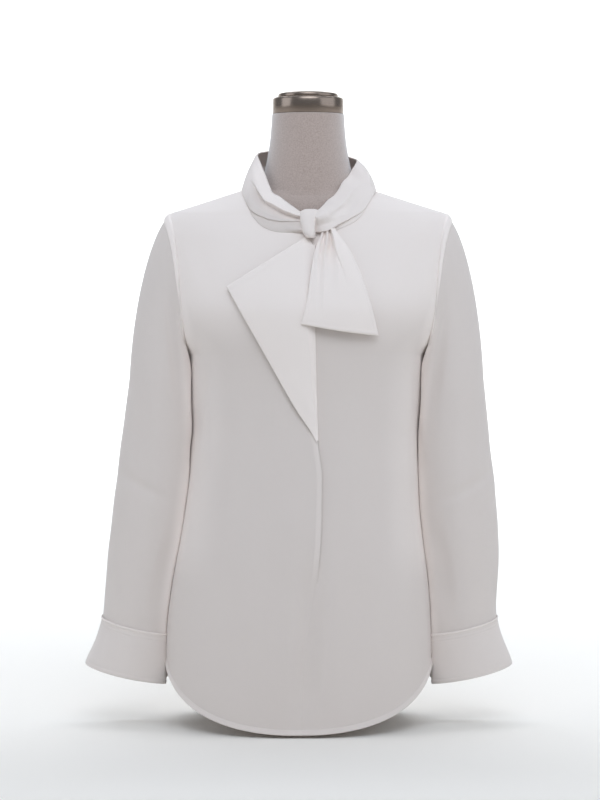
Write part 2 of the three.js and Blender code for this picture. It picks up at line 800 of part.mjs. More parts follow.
add("front_right", asWall(fronts.right), ivoryCrepe);
add("front_left", asWall(fronts.left), ivoryCrepe);
add("back", asWall(back), ivoryCrepe);
add("sleeve_right", sleeveWall(-1, fronts.right, back), ivoryCrepe);
add("sleeve_left", sleeveWall(1, fronts.left, back), ivoryCrepe);
add("cuff_right", cuffWall(-1), ivoryCrepe);
add("cuff_left", cuffWall(1), ivoryCrepe);
add("neck_band", cutBy(neckBand(), knotGrown), ivoryCrepe);
add("tie_knot", knotSolid(0), ivoryCrepe);
add("tie_end", cutBy(tieEndWall(), knotGrown), ivoryCrepe);
add("front_flap", cutBy(flapWall(), knotGrown), ivoryCrepe);
add("form_torso", torso(), formLinen);
add("form_neck_cap", neckCap(), brushedNickel);
add("form_cap_disc", capDisc(), brushedNickel);
add("stand_pole", pole(), standMetal);
add("stand_foot", foot(), standMetal);

export default blouse;
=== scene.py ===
import bisect
import math
from types import SimpleNamespace

import bmesh
import bpy
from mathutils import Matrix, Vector, noise


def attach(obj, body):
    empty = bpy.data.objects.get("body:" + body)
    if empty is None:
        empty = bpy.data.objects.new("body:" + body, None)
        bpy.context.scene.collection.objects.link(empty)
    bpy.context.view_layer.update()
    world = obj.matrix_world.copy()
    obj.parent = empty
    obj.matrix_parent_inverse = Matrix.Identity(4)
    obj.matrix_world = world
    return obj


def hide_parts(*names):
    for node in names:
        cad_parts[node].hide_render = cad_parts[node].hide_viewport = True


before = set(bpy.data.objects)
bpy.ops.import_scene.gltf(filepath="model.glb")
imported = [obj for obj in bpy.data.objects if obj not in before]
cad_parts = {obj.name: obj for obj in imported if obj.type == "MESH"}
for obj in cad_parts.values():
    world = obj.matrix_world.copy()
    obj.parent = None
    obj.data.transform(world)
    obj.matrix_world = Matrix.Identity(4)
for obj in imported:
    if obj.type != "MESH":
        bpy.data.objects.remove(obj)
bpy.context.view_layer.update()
mm = 0.001  # every size below is in millimetres, and is turned to metres where a point is placed


# Small helpers

def mix(a, b, t):
    return a + (b - a) * t


def smoothStep(t):
    t = min(max(t, 0.0), 1.0)
    return t * t * (3 - 2 * t)


def bump(t):  # 1 in the middle, and 0 from -1 and 1 outwards
    return (1 - t * t) ** 2 if abs(t) < 1 else 0.0


def signedPower(value, power):
    return math.copysign(abs(value) ** power, value)


def curves(names, rows):
    # values between a table's rows, smooth and with no overshoot; the first column is the one looked up
    at = [row[0] for row in rows]
    found = {}
    for k, name in enumerate(names.split()[1:], 1):
        y = [row[k] for row in rows]
        slopes = [(y[i + 1] - y[i]) / (at[i + 1] - at[i]) for i in range(len(y) - 1)]
        tangents = []
        for i in range(len(y)):
            before, after = slopes[max(i - 1, 0)], slopes[min(i, len(slopes) - 1)]
            tangents.append(0.0 if before * after <= 0 else 2 * before * after / (before + after))

        def value(x, y=y, tangents=tangents):
            x = min(max(x, at[0]), at[-1])
            i = min(max(bisect.bisect_left(at, x) - 1, 0), len(at) - 2)
            width = at[i + 1] - at[i]
            t = (x - at[i]) / width
            rest = 1 - t
            start = (1 + 2 * t) * rest * rest * y[i] + t * rest * rest * width * tangents[i]
            return start + t * t * (3 - 2 * t) * y[i + 1] - t * t * rest * width * tangents[i + 1]

        found[name] = value
    return SimpleNamespace(first=at[0], last=at[-1], **found)


def manyCurves(names, tables):
    return [curves(names, rows) for rows in tables]


def table(columns, rows):  # a dictionary for each row
    return [dict(zip(columns.split(), row)) for row in rows]


def gridPiece(name, across, up, place, relief=None, closed=False, paintedLight=None, ends=False):
    # A grid of across by up faces. place gives each point from its two shares, relief how far it then moves
    # out along the surface's normal, and a third function how much light or shade is painted into its colour
    # (0 painted shade, 1 painted light). A closed grid is a tube, and ends fills its two ends.
    bm = bmesh.new()
    bmesh.ops.create_grid(bm, x_segments=across, y_segments=up, size=1)
    spots = [((v.co.x + 1) / 2, (v.co.y + 1) / 2) for v in bm.verts]
    for v, (u, w) in zip(bm.verts, spots):
        v.co = place(u, w) * mm
    if closed:
        bm.verts.ensure_lookup_table()
        row = across + 1
        seam = {bm.verts[(i + 1) * row - 1]: bm.verts[i * row] for i in range(up + 1)}
        spots = [spot for i, spot in enumerate(spots) if (i + 1) % row]
        bmesh.ops.weld_verts(bm, targetmap=seam)
    if ends:
        bmesh.ops.holes_fill(bm, edges=bm.edges)
        bmesh.ops.recalc_face_normals(bm, faces=bm.faces)
    if relief:
        bm.normal_update()
        moves = [v.normal * relief(u, w, v.co / mm) * mm for v, (u, w) in zip(bm.verts, spots)]
        for v, move in zip(bm.verts, moves):
            v.co += move
    if paintedLight:
        layer = bm.verts.layers.float.new("paintedLight")
        for v, (u, w) in zip(bm.verts, spots):
            v[layer] = paintedLight(u, w, v.co / mm)
    return meshObject(name, bm)


def meshObject(name, bm, smooth=True):
    mesh = bpy.data.meshes.new(name)
    for face in bm.faces:
        face.smooth = smooth
    bm.to_mesh(mesh)
    bm.free()
    piece = bpy.data.objects.new(name, mesh)
    bpy.context.scene.collection.objects.link(piece)
    return piece


def thicken(piece, wall):
    solidify = piece.modifiers.new("wall", "SOLIDIFY")
    solidify.thickness = wall * mm
    solidify.offset = -1
    solidify.use_rim = True


def turnedPiece(name, outline, steps=96):
    # a turned piece from radius and height pairs, from the axis and back to it
    bm = bmesh.new()
    verts = [bm.verts.new((r * mm, 0, z * mm)) for r, z in outline]
    edges = [bm.edges.new(pair) for pair in zip(verts, verts[1:])]
    bmesh.ops.spin(bm, geom=verts + edges, cent=(0, 0, 0), axis=(0, 0, 1), angle=2 * math.pi, steps=steps,
                   use_merge=True)
    bmesh.ops.remove_doubles(bm, verts=bm.verts, dist=0.00001)
    bmesh.ops.recalc_face_normals(bm, faces=bm.faces)
    return meshObject(name, bm)


# Blouse body: the section at each height, and everything worked out from it
blouse = dict(
    shoulderHalf=178, shoulderHeight=664, underarmHeight=480, neckHalf=85, neckFront=88, neckLeftRise=3.5,
    neckSideHeight=694, neckBackRise=10, neckRoundness=2.7, chestHeight=600, hemLow=4, hemRise=102,
    hemCurve=2.2, sectionPower=2.2, underlap=20, seamGap=0.04, wall=0.9,
)
body = curves("height edge wide front back shift", [
    [0, 175, 175, 119, 108, -12],
    [90, 175, 175, 121, 112, -12],
    [130, 174, 174, 121.5, 113, -12],
    [170, 171, 171, 121.5, 112, -11],
    [208, 166, 166, 121, 109, -10],
    [246, 160, 160, 119.5, 104, -9],
    [285, 155, 155, 117.5, 98, -8],
    [325, 151.5, 151.5, 115.5, 92, -6],
    [363, 149, 149, 114, 88, -5],
    [383, 148, 148, 113.5, 87, -4],
    [422, 150.5, 150.5, 114, 88, -3],
    [480, 153.5, 153.5, 119, 95, -2],
    [498, 155.5, 166, 122.5, 98, -1.5],
    [514, 157.5, 174.5, 125, 100, -1],
    [536, 160.5, 182, 127, 102, -0.5],
    [560, 162.5, 187.5, 121.5, 102.5, 0],
    [600, 166, 194, 105, 100, 0],
    [634, 170.5, 195, 89.5, 91, 0],
    [650, 174, 190.5, 80.5, 86, 0],
    [664, 178, 178, 72.5, 80, 0],
    [669, 178, 163, 70.5, 78.5, 0],
    [679, 178, 131, 66, 75, 0],
    [690, 178, 97, 60, 70, 0],
    [694, 178, 85, 58, 68, 0],
    [704, 178, 83.5, 56, 63, 0],
])
# the right front's free edge, and how far it stands off the left front; it is sewn flat below the hips
frontEdge = curves("height x lift", [
    [0, -6, 0.05],
    [53, -5, 0.05],
    [153, 5, 0.05],
    [185, 9.5, 0.05],
    [228, 14, 1.9],
    [278, 16.5, 3.4],
    [328, 17, 3.6],
    [365, 13, 3],
    [390, 10.5, 2],
    [430, 9, 1.6],
    [515, 6, 1.5],
    [634, 3, 1.5],
])
frontLift = dict(
    flat=26, fade=50, sink=0.5, sinkOver=4, sewnTo=186, sewnOver=34, under=1.2, underFrom=8, underOver=6.4,
)
underarmEase = dict(over=90, step=17, start=0.84, weights=(1, 2, 3, 2, 1))


def sectionDepth(x, height, half):
    share = min(1.0, abs(x - body.shift(height)) / body.wide(height))
    depth = body.front(height) if half == "front" else body.back(height)
    return depth * (1 - share ** blouse["sectionPower"]) ** (1 / blouse["sectionPower"])


def depthAt(x, height, half):
    # the section widens quickly at the underarm, and away from the side the cloth spans that softly
    aside = abs(x - body.shift(height)) / body.edge(height)
    ease = bump((height - blouse["underarmHeight"]) / underarmEase["over"])
    ease *= 1 - smoothStep((aside - underarmEase["start"]) / (1 - underarmEase["start"]))
    exact = sectionDepth(x, height, half)
    if ease == 0:
        return exact
    weights = underarmEase["weights"]
    spanned = sum(weight * sectionDepth(x, height + (i - 2) * underarmEase["step"], half)
                  for i, weight in enumerate(weights)) / sum(weights)
    return mix(exact, spanned, ease)


def heightWhere(falling, value, low, high):
    for _ in range(36):
        middle = (low + high) / 2
        if falling(middle) > value:
            low = middle
        else:
            high = middle
    return (low + high) / 2


def neckline(turn, half, roundness=blouse["neckRoundness"]):
    # turn is 0 at the middle, 90 at the left shoulder seam and -90 at the right one
    across, along = abs(math.sin(math.radians(turn))), abs(math.cos(math.radians(turn)))
    if half == "back":
        rise = blouse["neckBackRise"] * along ** 1.5
        return math.copysign(blouse["neckHalf"] * across, turn), blouse["neckSideHeight"] + rise
    power = 2 / roundness
    x = math.copysign(blouse["neckHalf"] * across ** power, turn)
    ahead = (blouse["neckFront"] - blouse["neckLeftRise"] * smoothStep(turn / 25)) * along ** power
    low, high = blouse["chestHeight"], blouse["neckSideHeight"]
    return x, heightWhere(lambda z: depthAt(x, z, "front"), ahead, low, high)


def hemHeight(side):
    quarter = math.asin(min(1.0, abs(side))) / (math.pi / 2)
    return blouse["hemLow"] + blouse["hemRise"] * quarter ** blouse["hemCurve"]


def armholeSpread(t):  # rows lie closer together where the surface turns over
    return (1 - (1 - t) ** 2.4) ** 1.6


# Panels
panelGrid = dict(
    neckShare=9 / 14, edgeColumns=0.08, edgeShare=0.02, hemRows=0.08, hemBand=12, underarmRows=0.52,
)
hemRoll = dict(width=6.5, height=0.5, groove=0.3, flare=1.3)  # the narrow turned-up hem
edgeFold = dict(width=6.5, height=0.45, groove=0.25, fadeFrom=185, fadeOver=50)  # the turned-under front edge
turnedEnd = dict(step=0.9, groove=0.6, grooveWidth=1.2)  # such an edge ends in a step and a stitched groove
foldFade = dict(past=0.2, over=0.5)  # a fold dies away over half its length, and runs a fifth past its ends
seamFade = dict(side=0.06, top=30)  # folds die away towards the side seam, and below the top edge
# Light and shade painted into the cloth's colour, from 0 (greyer: painted shade where one layer hangs free)
# to 1 (whiter: painted light where it is doubled): painted light above the bust, where it lies on the form,
# from lower down at the sides, and at the side, where the sleeve lies against it, over the shaded groove
# between them.
chestLight = dict(paintedLighter=0.85, height=490, over=100, lower=22, lowerAt=150)
sideGrooveLight = dict(paintedLighter=0.45, wideFrom=0.62, wideOver=0.3, closeFrom=0.9, closeOver=0.08, height=180, over=70)
# painted light along the turned-up hem and the turned-under front edge
hemAndEdgeLight = dict(hem=0.2, edge=0.3)

# Soft folds: x and height at each end, half width, and how far out (or in) the cloth moves.
frontFolds = table("along height endAlong endHeight width depth", [
    [6, 214, -8, 20, 24, -6],  # hollow below the free edge
    [-20, 300, -34, 40, 30, 2.2],
    [-131, 466, -146, 380, 11, -1.6],  # drag lines below the armholes
    [-118, 452, -128, 330, 17, 1.3],
    [139, 466, 146, 376, 11, -1.6],
    [124, 446, 131, 320, 16, 1.2],
    [-62, 470, -78, 250, 26, -1.4],
    [70, 462, 84, 240, 28, -1.6],
    [-92, 240, -112, 60, 30, -1.8],
    [64, 230, 60, 30, 30, -1.8],
    [112, 260, 128, 80, 26, 1.6],
    [-150, 640, -120, 560, 16, -1.0],
    [152, 640, 124, 556, 16, -1.0],
])
backFolds = table("along height endAlong endHeight width depth", [
    [-6, 430, -4, 120, 30, -3.4],
    [-60, 470, -72, 180, 28, 2.4],
    [54, 480, 66, 150, 30, 2.2],
    [-104, 440, -118, 230, 22, -2.2],
    [104, 452, 114, 260, 24, -2.4],
    [-120, 640, -60, 540, 24, -1.6],
    [122, 636, 66, 548, 26, -1.5],
    [-36, 140, -50, 20, 26, 1.8],
    [70, 160, 90, 40, 28, -1.8],
])


def foldRelief(folds, x, z, reach=1):  # reach is the millimetres for each step of x, or for each degree of it
    total = 0.0
    past, over = foldFade["past"], foldFade["over"]
    for fold in folds:
        dx, dz = (fold["endAlong"] - fold["along"]) * reach, fold["endHeight"] - fold["height"]
        across, up = (x - fold["along"]) * reach, z - fold["height"]
        length = math.hypot(dx, dz)
        along = (across * dx + up * dz) / length ** 2
        if -past < along < 1 + past:
            aside = (across * dz - up * dx) / length
            fade = smoothStep((along + past) / over) * smoothStep((1 + past - along) / over)
            total += fold["depth"] * fade * bump(aside / fold["width"])
    return total


def columnTop(u, half, firstTurn, side):
    split = panelGrid["neckShare"]
    if u < split:
        return neckline(mix(firstTurn, 90 * side, u / split), half)
    start = math.asin(blouse["neckHalf"] / blouse["shoulderHalf"])
    x = side * blouse["shoulderHalf"] * math.sin(mix(start, math.pi / 2, (u - split) / (1 - split)))
    return x, heightWhere(body.wide, abs(x), blouse["shoulderHeight"], blouse["neckSideHeight"])


def turnedShare(away, edge):
    return 1 - smoothStep((away - edge["width"]) / turnedEnd["step"])


def turnedEdge(away, edge):
    groove = bump((away - edge["width"] - turnedEnd["groove"]) / turnedEnd["grooveWidth"])
    return edge["height"] * turnedShare(away, edge) - edge["groove"] * groove


# the light and shade painted into a panel's colour at each point
def panelPaintedLight(spot, hem):
    f, s = chestLight, sideGrooveLight
    lower = f["lower"] * smoothStep(abs(spot.x) / f["lowerAt"])
    onTorso = f["paintedLighter"] * smoothStep((spot.z + lower - f["height"]) / f["over"])
    aside = abs(spot.x - body.shift(spot.z)) / body.edge(spot.z)
    near = smoothStep((aside - s["wideFrom"]) / s["wideOver"])
    near += smoothStep((aside - s["closeFrom"]) / s["closeOver"])
    atSleeve = s["paintedLighter"] * near * smoothStep((spot.z - s["height"]) / s["over"])
    return max(onTorso, atSleeve, hemAndEdgeLight["hem"] * turnedShare(spot.z - hem, hemRoll))


def fineNearEdge(u):  # the columns next to a free edge are narrow, to hold its fold and its stitched groove
    few, share = panelGrid["edgeColumns"], panelGrid["edgeShare"]
    return share * u / few if u < few else mix(share, 1, (u - few) / (1 - few))


def rowHeight(w, hem, top):
    hemRows, underarmRows = panelGrid["hemRows"], panelGrid["underarmRows"]
    band, underarm = hem + panelGrid["hemBand"], blouse["underarmHeight"]
    if w < hemRows:
        return mix(hem, band, w / hemRows)
    if w < underarmRows:
        return mix(band, underarm, (w - hemRows) / (underarmRows - hemRows))
    return mix(underarm, top, armholeSpread((w - underarmRows) / (1 - underarmRows)))


def sewnFlat(z):
    return 1 - smoothStep((z - frontLift["sewnTo"]) / frontLift["sewnOver"])


def rightLift(x, z):
    away = frontEdge.x(z) - x
    lift = frontEdge.lift(z) * (1 - smoothStep((away - frontLift["flat"]) / frontLift["fade"]))
    return lift - frontLift["sink"] * smoothStep(1 - away / frontLift["sinkOver"]) * sewnFlat(z)


def leftLift(x, z):  # below the hips the left front rises from under the right one to its level
    under = 1 - smoothStep((x - frontEdge.x(z) + frontLift["underFrom"]) / frontLift["underOver"])
    return -frontLift["under"] * under * sewnFlat(z)


def panelDepth(column, w, x, z, half):  # the side and shoulder seams lie in the middle plane
    atSide = column.share > 0.9999 and w <= panelGrid["underarmRows"] + 1e-6
    atShoulder = w > 0.9999 and column.u >= panelGrid["neckShare"]
    return (0 if atSide or atShoulder else depthAt(x, z, half)) + blouse["seamGap"] / 2


def panelRelief(folds, column, spot):
    keep = smoothStep((1 - column.share) / seamFade["side"])
    keep *= smoothStep((column.z - spot.z) / seamFade["top"])
    above = spot.z - column.hem
    flare = hemRoll["flare"] * (1 - smoothStep(above / hemRoll["width"]))
    return foldRelief(folds, spot.x, spot.z) * keep + turnedEdge(above, hemRoll) + flare


def makeFront(name, side, firstTurn, innerEdge, lift, freeEdge):
    # the grid's columns run anticlockwise seen from above, so the right front's run from its side inwards
    first = columnTop(0, "front", firstTurn, side)[0]
    tops = {}

    def columnOf(u):
        u = round(fineNearEdge(1 - u if side < 0 else u), 6)
        if u not in tops:
            x, z = columnTop(u, "front", firstTurn, side)
            share = (x - first) / (side * blouse["shoulderHalf"] - first)
            hem = hemHeight((sideAt(60, share) - body.shift(60)) / body.edge(60))
            tops[u] = SimpleNamespace(u=u, x=x, z=z, share=share, hem=hem)
        return tops[u]

    def sideAt(z, share):
        return mix(innerEdge(z), body.shift(z) + side * body.edge(min(z, blouse["shoulderHeight"])), share)

    def place(u, w):
        column = columnOf(u)
        z = rowHeight(w, column.hem, column.z)
        x = sideAt(z, column.share)
        return Vector((x, -panelDepth(column, w, x, z, "front") - lift(x, z), z))

    def paintedLight(u, w, spot):
        paintedLighter = panelPaintedLight(spot, columnOf(u).hem)
        # the turned-under front edge gets painted light too
        if freeEdge:
            away = abs(spot.x - innerEdge(spot.z))
            paintedLighter = max(paintedLighter, hemAndEdgeLight["edge"] * turnedShare(away, edgeFold) * strong(spot))
        return paintedLighter

    def relief(u, w, spot):
        out = panelRelief(frontFolds, columnOf(u), spot)
        if freeEdge:
            out += turnedEdge(abs(spot.x - innerEdge(spot.z)), edgeFold) * strong(spot)
        return out

    def strong(spot):
        return smoothStep((spot.z - edgeFold["fadeFrom"]) / edgeFold["fadeOver"])

    piece = gridPiece(name, 120, 210, place, relief, paintedLight=paintedLight)
    thicken(piece, blouse["wall"])
    return piece


print("panels")
frontRight = makeFront("frontRight", -1, 2, frontEdge.x, rightLift, True)
frontLeft = makeFront("frontLeft", 1, -7, lambda z: frontEdge.x(z) - blouse["underlap"], leftLift, False)


def makeBack():
    # one panel: its columns run from the left side seam over the middle to the right one
    tops = {}

    def columnOf(u):
        side = 1 if u < 0.5 else -1
        share = round(abs(1 - 2 * u), 6)
        if (side, share) not in tops:
            x, z = columnTop(share, "back", 0.0, side)
            across = abs(x) / blouse["shoulderHalf"]
            hem = hemHeight(side * across)
            tops[side, share] = SimpleNamespace(side=side, u=share, z=z, share=across, hem=hem)
        return tops[side, share]

    def place(u, w):
        column = columnOf(u)
        z = rowHeight(w, column.hem, column.z)
        x = body.shift(z) + column.side * column.share * body.edge(min(z, blouse["shoulderHeight"]))
        return Vector((x, panelDepth(column, w, x, z, "back"), z))

    def relief(u, w, spot):
        return panelRelief(backFolds, columnOf(u), spot)

    def paintedLight(u, w, spot):
        return panelPaintedLight(spot, columnOf(u).hem)

    piece = gridPiece("backPanel", 200, 180, place, relief, paintedLight=paintedLight)
    thicken(piece, blouse["wall"])
    return piece


back = makeBack()

# Sleeves and cuffs
sleeve = curves("height outer depth shift", [
    [60, 281, 41, 0],
    [130, 257, 40, 1.3],
    [149, 256, 42, 1.6],
    [201, 255.5, 45, 3.6],
    [253, 252, 49, 4.4],
    [305, 247, 52, 3.6],
    [357, 241, 54, 1.6],
    [409, 235, 56, 0.8],
    [461, 229, 58, 0.6],
])
sleeveSizes = dict(
    fromBody=-16, contact=0.3, biceps=452, cuffSeam=130, cuffHem=66, cuffReach=3.5, tiltOut=0.21,
    tiltFront=0.08, leavingLow=(0.12, 0.85), leavingHigh=(0.4, 0.36), arriving=(0.05, 1.1), capRows=0.45,
    tucked=4, wall=0.9, cuffWall=1.5, easeFrom=464, ease=0.7, capSpread=1.25, foldsTop=0.25, foldsBottom=0.03,
)
sleeveGrooveLight = dict(paintedLighter=0.9, near=4, over=16, height=560, fade=60)  # painted light on the sleeve over the shaded groove where it lies against the body's side
# the seam allowance lies in the sleeve's head as a low ridge, widest at the shoulder
headRidge = dict(wide=10, narrow=4.5, height=2.0, edge=3, rise=2.5, fadeFrom=0.62, fadeTo=0.3)
# Soft folds of a sleeve: the turn round the arm (0 outermost, 90 front) and the height at each end.
sleeveFolds = table("along height endAlong endHeight width depth", [
    [96, 560, 118, 420, 15, -2.8],
    [150, 470, 138, 330, 14, -2.4],
    [60, 420, 74, 250, 20, -2.2],
    [30, 330, 104, 296, 11, -1.9],
    [200, 360, 262, 318, 12, -3.0],
    [230, 330, 300, 300, 11, -2.4],
    [215, 300, 286, 268, 12, -2.6],
    [120, 260, 110, 150, 14, -2.2],
    [250, 250, 262, 146, 16, -2.4],
    [320, 280, 330, 150, 18, 1.8],
    [28, 260, 24, 146, 16, -1.6],
])


def ringTurn(u, side):
    return (360 * u if side < 0 else 360 * (1 - u)) % 360


def sleeveRing(height, side, turn):
    s = sleeveSizes
    below = smoothStep((s["cuffSeam"] - height) / (s["cuffSeam"] - s["cuffHem"]))
    inner = body.edge(max(height, s["cuffSeam"])) + s["fromBody"] + s["cuffReach"] * below
    outer = sleeve.outer(height)
    half = (outer - inner) / 2
    tilt = smoothStep((s["biceps"] - height) / (s["biceps"] - s["cuffSeam"]))
    angle = math.radians(turn)
    out, y = half * math.cos(angle), -sleeve.depth(height) * math.sin(angle)
    z = height + tilt * (s["tiltOut"] * out + s["tiltFront"] * y)
    x = side * ((outer + inner) / 2 + out)
    return againstBody(Vector((body.shift(height) + sleeve.shift(height) + x, y, z)), side)


def againstBody(spot, side):  # the sleeve lies flat against the body's side, and eases off it at the underarm
    deep = body.front(spot.z) if spot.y < 0 else body.back(spot.z)
    if abs(spot.y) < deep:
        power = blouse["sectionPower"]
        reach = body.edge(spot.z) * (1 - (abs(spot.y) / deep) ** power) ** (1 / power)
        reach += sleeveSizes["contact"]
        reach -= max(0.0, spot.z - sleeveSizes["easeFrom"]) * sleeveSizes["ease"]
        spot.x = body.shift(spot.z) + side * max(side * (spot.x - body.shift(spot.z)), reach)
    return spot


def armholePoint(turn, side):  # turn is 0 at the shoulder, 180 at the underarm
    half, t = ("front", 1 - turn / 180) if turn <= 180 else ("back", turn / 180 - 1)
    low, top = blouse["underarmHeight"], blouse["shoulderHeight"]
    z = mix(low, top, armholeSpread(t))
    x = body.shift(z) + side * body.edge(z)
    depth = 0 if t < 1e-6 or t > 1 - 1e-6 else depthAt(x, z, half) + blouse["seamGap"] / 2
    return Vector((x, -depth if half == "front" else depth, z)), (z - low) / (top - low)


def makeSleeve(name, side):
    s = sleeveSizes
    known = {}

    def columnOf(turn):
        key = round(turn, 5)
        if key not in known:
            start, high = armholePoint(key, side)
            biceps = sleeveRing(s["biceps"], side, key)
            span = (start - biceps).length
            out, down = (mix(a, b, high) for a, b in zip(s["leavingLow"], s["leavingHigh"]))
            leaving = Vector((side * out, 0, -down)) * span
            arriving = Vector((side * s["arriving"][0], 0, -s["arriving"][1])) * span
            known[key] = SimpleNamespace(start=start, high=high, biceps=biceps, leaving=leaving,
                                         arriving=arriving)
        return known[key]

    def place(u, w):
        turn = ringTurn(u, side)
        low = 1 - s["capRows"]
        if w <= low:
            return sleeveRing(mix(s["cuffSeam"] - s["tucked"], s["biceps"], w / low), side, turn)
        column = columnOf(turn)
        t = (1 - (w - low) / s["capRows"]) ** s["capSpread"]  # rows lie closer together at the armhole
        rest = 1 - t
        point = column.start * ((1 + 2 * t) * rest * rest) + column.leaving * (t * rest * rest)
        point += column.biceps * (t * t * (3 - 2 * t)) - column.arriving * (t * t * rest)
        return againstBody(point, side) if w < 1 else point

    def relief(u, w, spot):
        turn = ringTurn(u, side)
        keep = smoothStep((1 - w) / s["foldsTop"]) * smoothStep(w / s["foldsBottom"])
        reach = sleeve.depth(spot.z) * math.pi / 180  # millimetres round the arm for each degree
        out = foldRelief(sleeveFolds, turn, spot.z, reach) * keep
        if w > 1 - s["capRows"]:
            column = columnOf(turn)
            away = (spot - column.start).length
            out += headRidge["height"] * ridgeShare(column, away) * smoothStep(away / headRidge["rise"])
        return out

    def ridgeShare(column, away):
        h = headRidge
        strong = smoothStep((column.high - h["fadeTo"]) / (h["fadeFrom"] - h["fadeTo"]))
        return strong * (1 - smoothStep((away - mix(h["narrow"], h["wide"], column.high)) / h["edge"]))

    # painted light over the shaded groove against the body, and a painted highlight along the head ridge
    def paintedLight(u, w, spot):
        b = sleeveGrooveLight
        away = side * (spot.x - body.shift(spot.z)) - body.edge(spot.z) + b["near"]
        touching = b["paintedLighter"] * (1 - smoothStep(away / b["over"]))
        touching *= smoothStep((b["height"] - spot.z) / b["fade"])
        if w <= 1 - s["capRows"]:
            return touching
        column = columnOf(ringTurn(u, side))
        return max(touching, ridgeShare(column, (spot - column.start).length))

    piece = gridPiece(name, 112, 190, place, relief, closed=True, paintedLight=paintedLight)
    thicken(piece, s["wall"])
    return piece


# a ridge and two rows of stitches below the seam, one row above the lower edge, and slight waves
cuffDetail = dict(
    proud=1.1, ridge=1.1, ridgeAt=1.4, ridgeWidth=2.4, edge=0.6, edgeWidth=2.5, stitch=0.3, stitchWidth=1.3,
    stitchRows=(6.5, 10.5), hemRow=5.5, wave=0.7, waveSize=26, paintedLighter=0.2, ridgeHighlight=0.6,
)


def makeCuff(name, side):
    s, c = sleeveSizes, cuffDetail
    deep = s["cuffSeam"] - s["cuffHem"]

    def place(u, w):
        return sleeveRing(mix(s["cuffHem"], s["cuffSeam"], w), side, ringTurn(u, side))

    def relief(u, w, spot):
        below, above = (1 - w) * deep, w * deep
        out = c["proud"] + c["ridge"] * ridgeAt(below) - c["edge"] * bump(above / c["edgeWidth"])
        rows = [below - row for row in c["stitchRows"]] + [above - c["hemRow"]]
        out -= c["stitch"] * sum(bump(row / c["stitchWidth"]) for row in rows)
        return out + c["wave"] * noise.noise(spot / c["waveSize"])

    def ridgeAt(below):
        return bump((below - c["ridgeAt"]) / c["ridgeWidth"])

    # the cuff is painted a little lighter, with a painted highlight along its seam ridge
    def paintedLight(u, w, spot):
        return c["paintedLighter"] + c["ridgeHighlight"] * ridgeAt((1 - w) * deep)

    piece = gridPiece(name, 112, 90, place, relief, closed=True, paintedLight=paintedLight)
    thicken(piece, s["cuffWall"])
    return piece


print("sleeves")
sleeveRight = makeSleeve("sleeveRight", -1)
sleeveLeft = makeSleeve("sleeveLeft", 1)
cuffRight = makeCuff("cuffRight", -1)
cuffLeft = makeCuff("cuffLeft", 1)

# Neck band: its top edge by turn from the front, and the rolls and creases that run into the knot
bandTop = curves("turn radius height", [
    [-180, 65, 751],
    [-135, 63.5, 748],
    [-110, 65, 745],
    [-90, 67, 740],
    [-72, 65, 727],
    [-58, 66, 713],
    [-45, 70, 697],
    [-38, 73, 688.5],
    [-30, 73.5, 684],
    [-22, 75, 677.5],
    [-14, 77, 670.5],
    [-6, 81, 664.5],
    [4, 82, 663],
    [10, 79, 668],
    [14, 74, 672],
    [22, 68.5, 680],
    [30, 66.5, 685.5],
    [37, 64.5, 693],
    [47, 61.5, 703.5],
    [65, 59.6, 714],
    [75, 63.2, 725],
    [90, 64.6, 733.5],
    [120, 64.5, 739],
    [150, 64, 747],
    [180, 65, 751],
])
# its last three values set the painted light on the band, the painted shade under the roll near the knot and
# the painted light on the full roll
band = dict(
    above=0.2, roundness=3.4, ends=(0.3, 359.7), wall=2.0, finer=0.1, rollFrom=0.95, rollOver=1.6,
    stepFade=0.25, tuckEdge=2.2, tuckFade=22,
    bellyFront=4.5, bellySide=2.3, leftBelly=0.5, wave=0.5, waveSize=24, paintedLighter=0.6, underRollShade=0.7, rollLight=0.4,
)
